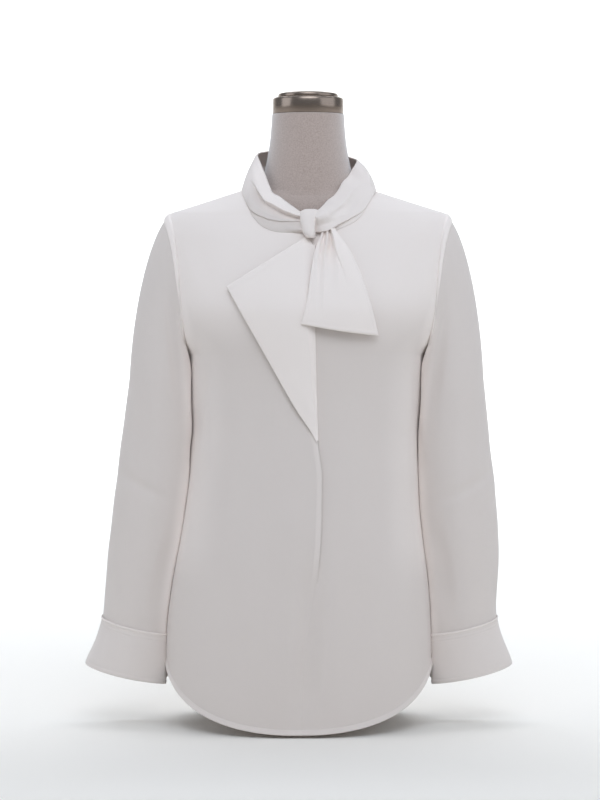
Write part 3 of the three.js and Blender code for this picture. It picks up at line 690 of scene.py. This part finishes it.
# Rolls and creases along the band: where each lies at a turn, its half width, and how far out it goes
bandRolls = manyCurves("turn share width out", [
    [  # the deep crease of the right half
        [-70, 0.46, 0.12, 0],
        [-61, 0.485, 0.19, -3.4],
        [-53, 0.53, 0.2, -5.6],
        [-43.5, 0.57, 0.19, -6.8],
        [-34.5, 0.595, 0.18, -7.2],
        [-26, 0.605, 0.17, -7.6],
        [-18, 0.62, 0.155, -7.6],
        [-11, 0.665, 0.14, -7.2],
        [-5, 0.69, 0.12, -6.2],
        [0, 0.7, 0.08, -5],
    ],
    [  # the full roll above it
        [-76, 0.74, 0.28, 0],
        [-50, 0.78, 0.26, 3],
        [-30, 0.8, 0.22, 4],
        [-15, 0.83, 0.18, 3.8],
        [0, 0.86, 0.15, 3.2],
    ],
    [  # a thin ripple on that roll
        [-40, 0.93, 0.05, 0],
        [-32, 0.915, 0.05, -0.7],
        [-18, 0.89, 0.05, -0.9],
        [-8, 0.86, 0.05, -0.8],
        [-2, 0.85, 0.05, 0],
    ],
    [  # the bunched end below the knot
        [-11, 0.2, 0.16, 0],
        [-6, 0.18, 0.18, 1.6],
        [-2, 0.16, 0.2, 4.5],
        [0, 0.16, 0.2, 5],
    ],
    [  # the left half swells into the knot
        [0, 0.75, 0.45, -5],
        [2, 0.75, 0.45, 1.5],
        [5, 0.78, 0.45, 7.4],
        [9, 0.78, 0.45, 9],
        [13, 0.76, 0.44, 7.4],
        [20, 0.72, 0.4, 3.8],
        [36, 0.7, 0.3, 0],
    ],
    [
        [12, 0.56, 0.1, 0],
        [24, 0.53, 0.17, -3],
        [42, 0.5, 0.2, -3.6],
        [64, 0.5, 0.18, 0],
    ],
    [  # the left side bulges
        [50, 0.5, 0.6, 0],
        [75, 0.5, 0.6, 1.8],
        [95, 0.5, 0.6, 2.4],
        [140, 0.5, 0.6, 0],
    ],
    [  # soft folds round the back
        [96, 0.5, 0.12, 0],
        [124, 0.56, 0.12, -2.6],
        [150, 0.52, 0.1, -3],
        [180, 0.5, 0.11, -2.2],
    ],
    [
        [-180, 0.5, 0.11, -2.2],
        [-150, 0.44, 0.12, -3.2],
        [-118, 0.5, 0.12, -2.2],
        [-92, 0.52, 0.1, 0],
    ],
])
# Lower edges of the tie where it lies over the band's stand: the cloth above each stands out from it.
bandSteps = manyCurves("turn share width out", [
    [
        [-86, 0.02, 0.05, 0],
        [-68.5, 0.05, 0.05, 1.6],
        [-58.5, 0.06, 0.04, 2.4],
        [-49.5, 0.1, 0.04, 3],
        [-41.5, 0.19, 0.045, 3],
        [-35, 0.25, 0.045, 2.8],
        [-26, 0.3, 0.045, 2.6],
        [-15.5, 0.4, 0.045, 2.4],
        [-8, 0.52, 0.045, 2.2],
        [0, 0.6, 0.045, 2],
    ],
    [
        [0, 0.04, 0.03, 0],
        [2, 0.045, 0.03, 4.5],
        [4.5, 0.05, 0.03, 7.6],
        [7, 0.06, 0.03, 8],
        [10.5, 0.11, 0.03, 7],
        [18.5, 0.16, 0.03, 4.8],
        [29.5, 0.16, 0.03, 3],
        [39.5, 0.11, 0.03, 2.2],
        [51, 0.04, 0.03, 1.6],
        [64.5, 0.03, 0.03, 2],
        [77, 0.02, 0.04, 2.4],
        [96, 0.02, 0.04, 2.2],
        [135, 0.02, 0.04, 0],
    ],
])
# a tuck on the left shoulder: the cloth in front of it laps over the cloth behind
bandTuck = curves("share turn out", [
    [0.06, 74, 0],
    [0.16, 73, 2],
    [0.35, 70, 3],
    [0.5, 75, 2.8],
    [0.66, 84, 0],
])


def within(curve, at):
    return curve.first <= at <= curve.last


def bandPoint(turn, share):
    size = abs(turn)
    half = "front" if size <= 90 else "back"
    x, z = neckline(turn if size <= 90 else math.copysign(180 - size, turn), half, band["roundness"])
    depth = 0 if size == 90 else depthAt(x, z, half)
    outward = Vector((math.sin(math.radians(turn)), -math.cos(math.radians(turn)), 0))
    start = Vector((x, -depth if half == "front" else depth, z + band["above"])) + outward
    end = outward * bandTop.radius(turn)
    end.z = bandTop.height(turn)
    belly = mix(band["bellyFront"], band["bellySide"], smoothStep(size / 90))
    out = belly * (band["leftBelly"] if turn > 0 else 1) * math.sin(math.pi * share) ** 0.8
    for roll in bandRolls:
        if within(roll, turn):
            out += roll.out(turn) * bump((share - roll.share(turn)) / roll.width(turn))
    for step in bandSteps:
        if within(step, turn):
            rise = smoothStep((share - step.share(turn)) / step.width(turn) + 0.5)
            out += step.out(turn) * rise * smoothStep((1 - share) / band["stepFade"])
    if within(bandTuck, share):
        past = turn - bandTuck.turn(share)
        tucked = (1 - smoothStep(past / band["tuckEdge"])) * (1 - smoothStep(-past / band["tuckFade"]))
        out += bandTuck.out(share) * tucked
    over = min(1.0, max(0.0, (share - band["rollFrom"]) / (1 - band["rollFrom"])))
    out -= band["rollOver"] * (1 - math.sqrt(1 - over ** 2))
    return start.lerp(end, share) + outward * out


def makeBand():
    def turnOf(u):
        turn = mix(*band["ends"], u - band["finer"] * math.sin(2 * math.pi * u))
        return turn - 360 if turn > 180 else turn

    def place(u, w):
        return bandPoint(turnOf(u), w)

    def paintedLight(u, w, spot):  # painted shade at the lower right near the knot, under the roll, and painted light on the full roll
        turn = turnOf(u)
        underRollShade = smoothStep((turn + 80) / 28) * smoothStep(-turn / 3) * (1 - smoothStep((w - 0.42) / 0.2))
        rollLight = smoothStep(-turn / 20) * smoothStep((turn + 90) / 20) * smoothStep((w - 0.66) / 0.2)
        return band["paintedLighter"] - band["underRollShade"] * underRollShade + band["rollLight"] * rollLight

    def relief(u, w, spot):
        return band["wave"] * noise.noise(spot / band["waveSize"])

    piece = gridPiece("neckBand", 380, 84, place, relief, paintedLight=paintedLight)
    thicken(piece, band["wall"])
    return piece


# Knot: a loop of the tie that narrows to a tip, by height
knot = dict(
    low=630.5, high=667.8, offBody=6, behind=5, hollow=0.8, hollowFrom=1, hollowTo=6, hollowWidth=6,
    squareness=0.8, poleRound=0.2, paintedLighter=0.6,
)
knotForm = curves("height left right stand", [
    [630.5, 0, 6.2, 8],
    [632, -3, 8.2, 10.5],
    [634.5, -5, 9, 12.8],
    [638, -6.8, 9.2, 14.6],
    [643, -8.4, 9.2, 15.8],
    [648, -9.6, 10, 16.4],
    [653, -10.4, 11.8, 16.6],
    [658, -10.8, 14, 16.2],
    [662, -10.8, 15, 15],
    [665.4, -8.8, 14, 13],
    [667.8, -3, 9, 10.5],
])


def makeKnot():
    k = knot
    bm = bmesh.new()
    bmesh.ops.create_uvsphere(bm, u_segments=96, v_segments=72, radius=1)
    for v in bm.verts:
        z = mix(k["low"], k["high"], (v.co.z + 1) / 2)
        pole = min(1.0, math.sqrt(max(0.0, 1 - v.co.z ** 2)) / k["poleRound"])
        angle = math.atan2(v.co.y, v.co.x)
        across, forward = math.cos(angle) * pole, -math.sin(angle) * pole
        left, right = knotForm.left(z), knotForm.right(z)
        x = (left + right) / 2 + (right - left) / 2 * signedPower(across, k["squareness"])
        down = (k["high"] - z) / (k["high"] - k["low"])
        line = (x - mix(k["hollowFrom"], k["hollowTo"], down)) / k["hollowWidth"]
        stand = knotForm.stand(z) - k["hollow"] * bump(line) if forward > 0 else k["behind"]
        out = body.front(z) + k["offBody"] + signedPower(forward, k["squareness"]) * stand
        v.co = Vector((x, -out, z)) * mm
    # the knot's colour carries a fixed share of painted light, level with the band
    layer = bm.verts.layers.float.new("paintedLight")
    for v in bm.verts:
        v[layer] = k["paintedLighter"]
    bmesh.ops.recalc_face_normals(bm, faces=bm.faces)
    return meshObject("tieKnot", bm)


# Tie end: a flattened tube of cloth, pleated where it comes out of the knot
tieEnd = curves("share left leftHeight right rightHeight leftOff rightOff", [
    [0, 17, 648, 31, 651, 6, 6],
    [0.1, 15.9, 637, 35.5, 641, 6.4, 6],
    [0.2, 11, 624, 44.5, 628, 7.4, 6],
    [0.33, 5.9, 607, 54.5, 612, 7.9, 6],
    [0.53, 1.8, 580, 67, 584, 8.3, 6.5],
    [0.77, -2.8, 551, 79, 547, 9, 7.5],
    [1, -9.2, 523, 88.5, 508, 10.4, 9],
])
tie = dict(
    belly=3.5, sag=1.2, wall=1.8, width=95, length=130, edge=0.7, edgeWidth=2, stitch=0.22, stitchAt=5,
    stitchWidth=1.2, crossFrom=0.12, lapWidth=0.04, lapFade=0.3,
)
tiePleats = manyCurves("down across width out", [
    [
        [0, 0.2, 0.1, -2.4],
        [0.1, 0.25, 0.14, -5.4],
        [0.2, 0.23, 0.13, -6],
        [0.33, 0.22, 0.11, -5],
        [0.5, 0.21, 0.09, -3],
        [0.72, 0.2, 0.06, -1.2],
        [0.95, 0.2, 0.06, 0],
    ],
    [
        [0, 0.42, 0.07, -2],
        [0.08, 0.42, 0.07, -1.6],
        [0.14, 0.42, 0.07, 0],
    ],
    [
        [0, 0.6, 0.1, -3],
        [0.1, 0.57, 0.14, -6.6],
        [0.2, 0.52, 0.16, -8],
        [0.33, 0.45, 0.18, -6.6],
        [0.5, 0.4, 0.17, -3],
        [0.78, 0.38, 0.17, 0],
    ],
])
# the right-hand pleat laps over the hollow beside it
tieLap = curves("down across out", [
    [0.02, 0.62, 0],
    [0.1, 0.59, 2],
    [0.2, 0.575, 3.6],
    [0.3, 0.61, 3.4],
    [0.4, 0.65, 2.2],
    [0.5, 0.68, 1],
    [0.62, 0.7, 0],
])


def makeTieEnd():
    def place(u, w):
        down = 1 - w
        x = mix(tieEnd.left(down), tieEnd.right(down), u)
        z = mix(tieEnd.leftHeight(down), tieEnd.rightHeight(down), u)
        z -= tie["sag"] * math.sin(math.pi * u) * down
        across = smoothStep((u - tie["crossFrom"]) / (1 - tie["crossFrom"]))
        off = mix(tieEnd.leftOff(down), tieEnd.rightOff(down), across)
        off += tie["belly"] * math.sin(math.pi * u)
        for pleat in tiePleats:
            if within(pleat, down):
                off += pleat.out(down) * bump((u - pleat.across(down)) / pleat.width(down))
        if within(tieLap, down):
            rise = smoothStep((u - tieLap.across(down)) / tie["lapWidth"] + 0.5)
            off += tieLap.out(down) * rise * smoothStep((1 - u) / tie["lapFade"])
        return Vector((x, -(depthAt(x, z, "front") + off), z))

    def relief(u, w, spot):
        edge = min(u * tie["width"], (1 - u) * tie["width"], w * tie["length"])
        stitched = tie["stitch"] * bump((edge - tie["stitchAt"]) / tie["stitchWidth"])
        return -tie["edge"] * (1 - smoothStep(edge / tie["edgeWidth"])) - stitched

    # the doubled tie end is painted in the lighter colour, painted light standing in for light through the
    # cloth
    piece = gridPiece("tieEnd", 150, 150, place, relief, paintedLight=lambda u, w, spot: 1)
    thicken(piece, tie["wall"])
    return piece


# Flap
flap = curves("share foldX foldHeight freeX freeHeight", [
    [0, 8, 622.5, -103, 570],
    [0.25, 6.5, 561, -77, 524],
    [0.5, 7.5, 500, -46.5, 470],
    [0.75, 9, 435, -17, 418],
    [0.93, 10.5, 392, 6, 383],
    [1, 11, 376, 10.5, 374],
])
flapOff = dict(
    wall=1.0, seat=0.5, roll=3.4, rollOver=0.14, belly=1.8, corner=3, tip=0.6, tipOver=0.3, peak=(0.9, 1.2),
    nose=1.6, noseColumns=0.12, length=190, widths=(14, 118), edge=0.35, edgeWidth=1.6, stitch=0.4,
    stitchAt=5.5, stitchWidth=1.4, stitchEnd=0.1,
)


def makeFlap():
    f = flapOff

    def place(u, w):
        down, up = 1 - w, w
        inward = min(1.0, u / (1 - f["noseColumns"]))
        free = 1 - inward
        x = mix(flap.freeX(down), flap.foldX(down), inward)
        peakAt, peak = f["peak"]  # the top edge dips behind the knot
        dip = smoothStep((inward - peakAt) / (1 - peakAt))
        top = peak * inward / peakAt if inward < peakAt else mix(peak, 1, dip)
        rise = mix(inward, top, up ** 3)
        z = mix(flap.freeHeight(down), flap.foldHeight(down), rise)
        stand = f["roll"] * smoothStep(free / f["rollOver"]) + f["belly"] * math.sin(math.pi * free)
        stand += f["corner"] * free ** 3 * up ** 2
        off = mix(f["tip"] * smoothStep(free / f["tipOver"]), stand, smoothStep(up / f["tipOver"]))
        under = depthAt(x, z, "front") + blouse["seamGap"] / 2 + rightLift(x, z) + f["wall"] + f["seat"]
        bend = math.pi * max(0.0, (u - 1 + f["noseColumns"]) / f["noseColumns"])  # round the fold
        x += f["nose"] * math.sin(bend)
        return Vector((x, -(under + off - f["nose"] * (1 - math.cos(bend))), z))

    def relief(u, w, spot):
        fromTop = (1 - w) * f["length"]
        fromEdge = u * mix(*f["widths"], w)
        stitched = f["stitch"] * bump((fromTop - f["stitchAt"]) / f["stitchWidth"])
        stitched *= smoothStep((1 - u - f["noseColumns"]) / f["stitchEnd"])
        return -f["edge"] * (1 - smoothStep(min(fromTop, fromEdge) / f["edgeWidth"])) - stitched

    # the doubled flap is painted in the lighter colour, painted light standing in for light through the cloth
    piece = gridPiece("frontFlap", 130, 170, place, relief, paintedLight=lambda u, w, spot: 1)
    thicken(piece, f["wall"])
    return piece


print("tie and flap")
neckBand = makeBand()
tieKnot = makeKnot()
tieEndPiece = makeTieEnd()
frontFlap = makeFlap()

# Dress form
form = dict(
    drop=2, bottom=82, top=792, torsoTop=687, neckBottom=692, torsoRows=0.72, torsoSpread=1.5, roundRows=0.04,
    roundBy=22, roundRise=12, thinnest=0.4,
)
formEase = curves("height ease", [
    [82, 9],
    [170, 7],
    [285, 12],
    [383, 18],
    [450, 12],
    [485, 9],
    [500, 7],
    [518, 4],
    [536, 2],
    [600, 1.4],
    [664, 1.6],
    [678, 1.9],
    [690, 2.4],
])
neckRings = curves("height side front back", [
    [692, 70, 55.8, 60],
    [701, 63, 54.2, 55.5],
    [712, 58.5, 52.8, 54],
    [724, 55, 51.8, 52.5],
    [740, 51.8, 50.5, 51],
    [765, 48.5, 48.5, 48.5],
    [792, 46.5, 46.5, 46.5],
])


def makeForm():
    f = form

    def torsoPoint(height, angle, shrink):
        above = height + f["drop"]
        inset = f["drop"] + formEase.ease(height) + shrink
        side = min(body.edge(min(above, blouse["shoulderHeight"])), body.wide(above)) - inset
        x = side * math.sin(angle)
        half = "front" if math.cos(angle) > 0 else "back"
        centred = x + body.shift(above)
        deep = max(depthAt(centred, above, half) - inset, f["thinnest"])
        return Vector((centred, -deep if half == "front" else deep, height))

    def place(u, w):
        angle = 2 * math.pi * u
        if w < f["roundRows"]:  # the lower edge is rounded
            t = w / f["roundRows"]
            rise = f["roundRise"] * (1 - math.sqrt(1 - t * t))
            return torsoPoint(f["bottom"] + rise, angle, f["roundBy"] * (1 - t))
        if w < f["torsoRows"]:
            t = (w - f["roundRows"]) / (f["torsoRows"] - f["roundRows"])
            height = mix(f["bottom"] + f["roundRise"], f["torsoTop"], 1 - (1 - t) ** f["torsoSpread"])
            return torsoPoint(height, angle, 0)
        height = mix(f["neckBottom"], f["top"], (w - f["torsoRows"]) / (1 - f["torsoRows"]))
        deep = neckRings.front(height) if math.cos(angle) > 0 else neckRings.back(height)
        return Vector((neckRings.side(height) * math.sin(angle), -deep * math.cos(angle), height))

    return gridPiece("formTorso", 120, 150, place, closed=True, ends=True)


print("dress form")
formTorso = makeForm()
cap = dict(radius=45.9, low=792.3, high=813.3, discRadius=38.8)
capRing = turnedPiece("capRing", [
    (0, cap["low"]), (cap["radius"] - 0.6, cap["low"]), (cap["radius"], cap["low"] + 0.6),
    (cap["radius"], cap["high"] - 2.6), (cap["radius"] - 0.5, cap["high"] - 1.1),
    (cap["radius"] - 1.6, cap["high"] - 0.3), (cap["radius"] - 3, cap["high"]), (0, cap["high"]),
])
discLow = cap["high"] + 0.3
capDisc = turnedPiece("capDisc", [
    (0, discLow), (cap["discRadius"] - 0.4, discLow), (cap["discRadius"], discLow + 0.5),
    (cap["discRadius"], discLow + 3.2), (cap["discRadius"] - 0.4, discLow + 4.2),
    (cap["discRadius"] - 1.4, discLow + 5), (cap["discRadius"] - 6, discLow + 6.2),
    (cap["discRadius"] - 16, discLow + 7.5), (cap["discRadius"] - 27, discLow + 8), (0, discLow + 8.1),
])
stand = dict(footRadius=84, footThick=9, poleRadius=15, flange=9)
standFoot = turnedPiece("standFoot", [
    (0, 0), (stand["footRadius"] - 0.5, 0), (stand["footRadius"], 0.5), (stand["footRadius"], 3),
    (stand["footRadius"] - 0.6, 4.2), (stand["footRadius"] - 2, 5), (stand["footRadius"] - 10, 6.6),
    (30, stand["footThick"] - 0.2), (0, stand["footThick"]),
])
flangeRadius = stand["poleRadius"] + stand["flange"]
standPole = turnedPiece("standPole", [
    (0, 9.3), (stand["poleRadius"], 9.3), (stand["poleRadius"], 74), (flangeRadius - 0.5, 77),
    (flangeRadius, 77.6), (flangeRadius, 81.2), (flangeRadius - 0.5, 81.7), (0, 81.7),
])


# Materials

def toLinear(hexColour):
    channels = [int(hexColour[i:i + 2], 16) / 255 for i in (1, 3, 5)]
    return [c / 12.92 if c <= 0.04045 else ((c + 0.055) / 1.055) ** 2.4 for c in channels] + [1.0]


def addNode(tree, kind, inputs=None, links=None, **settings):
    node = tree.nodes.new(kind)
    for key, value in settings.items():
        setattr(node, key, value)
    for key, value in (inputs or {}).items():
        node.inputs[key].default_value = value
    for key, socket in (links or {}).items():
        tree.links.new(socket, node.inputs[key])
    return node


def noiseNode(tree, coords, size, detail, roughness=0.5):  # noise of a size in millimetres
    values = {"Scale": 1 / (size * mm), "Detail": detail, "Roughness": roughness}
    return addNode(tree, "ShaderNodeTexNoise", values, {"Vector": coords})


def newMaterial(name):
    material = bpy.data.materials.new(name)
    material.use_nodes = True
    tree = material.node_tree
    tree.nodes.clear()
    shader = addNode(tree, "ShaderNodeBsdfPrincipled")
    output = addNode(tree, "ShaderNodeOutputMaterial")
    tree.links.new(shader.outputs["BSDF"], output.inputs["Surface"])
    coords = addNode(tree, "ShaderNodeTexCoord").outputs["Object"]
    return material, tree, shader, coords


def crepeMaterial():
    # Woven polyester crepe: twisted yarns give a matt, faintly pebbled face with no shine. It is thin, and
    # its colour is mixed between a whiter and a greyer tone by painted light and shade: whiter where it is
    # doubled or lies on the form, greyer as painted shade where one layer hangs free or lies in shade.
    c = dict(paintedLighter="#F2E9E3", free="#DBD2CC", pebble=0.9, cloud=6, mottle=0.05, roughness=0.82, sheen=0.25)
    material, tree, shader, coords = newMaterial("wovenCrepe")
    cloud = noiseNode(tree, coords, c["cloud"], 3)
    # the light and shade painted into the cloth, read from each piece's mesh
    layers = addNode(tree, "ShaderNodeAttribute", attribute_name="paintedLight")
    mottled = addNode(tree, "ShaderNodeMath", {1: c["mottle"]},
                      {0: cloud.outputs["Fac"], 2: layers.outputs["Fac"]}, operation="MULTIPLY_ADD")
    ramp = addNode(tree, "ShaderNodeValToRGB", links={"Fac": mottled.outputs["Value"]})
    # the greyer colour is the painted shade, the whiter one the painted light
    ramp.color_ramp.elements[0].color = toLinear(c["free"])
    ramp.color_ramp.elements[1].color = toLinear(c["paintedLighter"])
    tree.links.new(ramp.outputs["Color"], shader.inputs["Base Color"])
    # the pebbles are about 0.4 mm on the cloth, and are drawn at 0.9 mm to show
    pebble = noiseNode(tree, coords, c["pebble"], 4, 0.6)
    relief = addNode(tree, "ShaderNodeBump", {"Strength": 0.35, "Distance": 0.12 * mm},
                     {"Height": pebble.outputs["Fac"]})
    tree.links.new(relief.outputs["Normal"], shader.inputs["Normal"])
    shader.inputs["Roughness"].default_value = c["roughness"]
    shader.inputs["Sheen Weight"].default_value = c["sheen"]
    shader.inputs["Sheen Roughness"].default_value = 0.5
    shader.inputs["Specular IOR Level"].default_value = 0.25
    return material


def linenMaterial():
    # Linen cover pulled tight over the form: uneven yarns give a speckled greige face.
    c = dict(light="#B9A89F", dark="#A39187", speckle=1.6, thread=0.8, roughness=0.75)
    material, tree, shader, coords = newMaterial("linenCover")
    speckle = noiseNode(tree, coords, c["speckle"], 5, 0.7)
    ramp = addNode(tree, "ShaderNodeValToRGB", links={"Fac": speckle.outputs["Fac"]})
    ramp.color_ramp.elements[0].position, ramp.color_ramp.elements[1].position = 0.36, 0.62
    ramp.color_ramp.elements[0].color = toLinear(c["dark"])
    ramp.color_ramp.elements[1].color = toLinear(c["light"])
    tree.links.new(ramp.outputs["Color"], shader.inputs["Base Color"])
    thread = noiseNode(tree, coords, c["thread"], 3)
    relief = addNode(tree, "ShaderNodeBump", {"Strength": 0.5, "Distance": 0.2 * mm},
                     {"Height": thread.outputs["Fac"]})
    tree.links.new(relief.outputs["Normal"], shader.inputs["Normal"])
    shader.inputs["Roughness"].default_value = c["roughness"]
    shader.inputs["Specular IOR Level"].default_value = 0.35
    shader.inputs["Sheen Weight"].default_value = 1
    shader.inputs["Sheen Roughness"].default_value = 0.6
    return material


def nickelMaterial(name, colour, roughness):
    # Turned and brushed nickel plate: fine lines run round it and spread the reflections up and down.
    material, tree, shader, coords = newMaterial(name)
    flat = addNode(tree, "ShaderNodeMapping", {"Scale": (6, 6, 1 / (0.5 * mm))}, {"Vector": coords})
    lines = addNode(tree, "ShaderNodeTexNoise", {"Scale": 1, "Detail": 3}, {"Vector": flat.outputs["Vector"]})
    spread = addNode(tree, "ShaderNodeMapRange", {"To Min": roughness - 0.08, "To Max": roughness + 0.1},
                     {"Value": lines.outputs["Fac"]})
    tree.links.new(spread.outputs["Result"], shader.inputs["Roughness"])
    relief = addNode(tree, "ShaderNodeBump", {"Strength": 0.2, "Distance": 0.05 * mm},
                     {"Height": lines.outputs["Fac"]})
    tree.links.new(relief.outputs["Normal"], shader.inputs["Normal"])
    shader.inputs["Base Color"].default_value = toLinear(colour)
    shader.inputs["Metallic"].default_value = 1
    return material


print("materials")
crepe = crepeMaterial()
linen = linenMaterial()
nickel = nickelMaterial("brushedNickel", "#96887D", 0.21)
standSteel = nickelMaterial("satinSteel", "#A9A6A2", 0.38)

# Every piece and the node it stands for, by slot and finish
pieces = {
    ("ivory_crepe", crepe): (
        (frontRight, "front_right"), (frontLeft, "front_left"), (back, "back"), (sleeveRight, "sleeve_right"),
        (sleeveLeft, "sleeve_left"), (cuffRight, "cuff_right"), (cuffLeft, "cuff_left"),
        (neckBand, "neck_band"), (tieKnot, "tie_knot"), (tieEndPiece, "tie_end"), (frontFlap, "front_flap"),
    ),
    ("form_linen", linen): ((formTorso, "form_torso"),),
    ("nickel_cap", nickel): ((capRing, "form_neck_cap"), (capDisc, "form_cap_disc")),
    ("stand_metal", standSteel): ((standPole, "stand_pole"), (standFoot, "stand_foot")),
}
for (slot, material), group in pieces.items():
    for piece, node in group:
        piece.data.materials.append(material)
        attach(piece, "root")
        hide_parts(node)

# Stage: a pale floor that curves up behind, soft lights and the camera
stage = dict(wide=10, front=-6, back=5.6, curve=1.6, high=6, colour="#F9F5EE")
daylight = dict(colour="#EEF5FF", around=0.34)


def makeBackdrop():
    s = stage
    bm = bmesh.new()
    bmesh.ops.create_grid(bm, x_segments=1, y_segments=60, size=1)
    for v in bm.verts:
        t = (v.co.y + 1) / 2
        along = t * (s["back"] - s["front"] + s["curve"] * math.pi / 2 + s["high"]) + s["front"]
        past = along - s["back"]
        if past < 0:
            y, z = along, 0
        elif past < s["curve"] * math.pi / 2:
            y = s["back"] + s["curve"] * math.sin(past / s["curve"])
            z = s["curve"] * (1 - math.cos(past / s["curve"]))
        else:
            y, z = s["back"] + s["curve"], s["curve"] + past - s["curve"] * math.pi / 2
        v.co = (v.co.x * s["wide"], y, z)
    backdrop = meshObject("backdrop", bm)
    material, tree, shader, coords = newMaterial("matPaper")
    shader.inputs["Base Color"].default_value = toLinear(s["colour"])
    shader.inputs["Roughness"].default_value = 0.9
    backdrop.data.materials.append(material)


def softLight(name, place, aim, size, power, spread=180):
    data = bpy.data.lights.new(name, "AREA")
    data.shape = "RECTANGLE"
    data.size, data.size_y = size
    data.energy = power
    data.spread = math.radians(spread)
    data.color = toLinear(daylight["colour"])[:3]
    light = bpy.data.objects.new(name, data)
    light.location = place
    light.rotation_euler = (Vector(aim) - Vector(place)).to_track_quat("-Z", "Y").to_euler()
    bpy.context.scene.collection.objects.link(light)


makeBackdrop()
softLight("frontLight", (0.1, -1.65, 2.05), (0, 0, 0.6), (2.0, 1.2), 6.4, 78)
softLight("leftLight", (-2.15, -0.55, 1.1), (0, 0, 0.55), (1.4, 1.6), 8)
softLight("rightLight", (2.0, -0.8, 1.1), (0, 0, 0.55), (2.2, 1.6), 9.5)
softLight("floorLight", (0, 1.4, 3.6), (0, 4.2, 1.2), (5, 1.5), 170)
softLight("backdropLight", (0, 4.6, 3.8), (0, 7.4, 1.4), (7, 1.5), 230)

world = bpy.data.worlds.new("studio")
world.use_nodes = True
world.node_tree.nodes["Background"].inputs["Color"].default_value = toLinear(daylight["colour"])
world.node_tree.nodes["Background"].inputs["Strength"].default_value = daylight["around"]
bpy.context.scene.world = world

# The camera: 600 by 800 pixels of 1.3 mm at the part's middle plane, from 3.2 m, with eye level at row 280
view = dict(x=-10.4, distance=3200, height=578, pixel=1.3, rows=800, eyeRow=280)
cameraData = bpy.data.cameras.new("camera")
cameraData.sensor_width = 36
cameraData.lens = 36 * view["distance"] / (view["pixel"] * view["rows"])
lookDown = math.atan((view["rows"] / 2 - view["eyeRow"]) * view["pixel"] / view["distance"])
camera = bpy.data.objects.new("camera", cameraData)
camera.location = Vector((view["x"], -view["distance"], view["height"])) * mm
camera.rotation_euler = (math.pi / 2 - lookDown, 0, 0)
bpy.context.scene.collection.objects.link(camera)
bpy.context.scene.camera = camera
bpy.context.scene.view_settings.view_transform = "Standard"
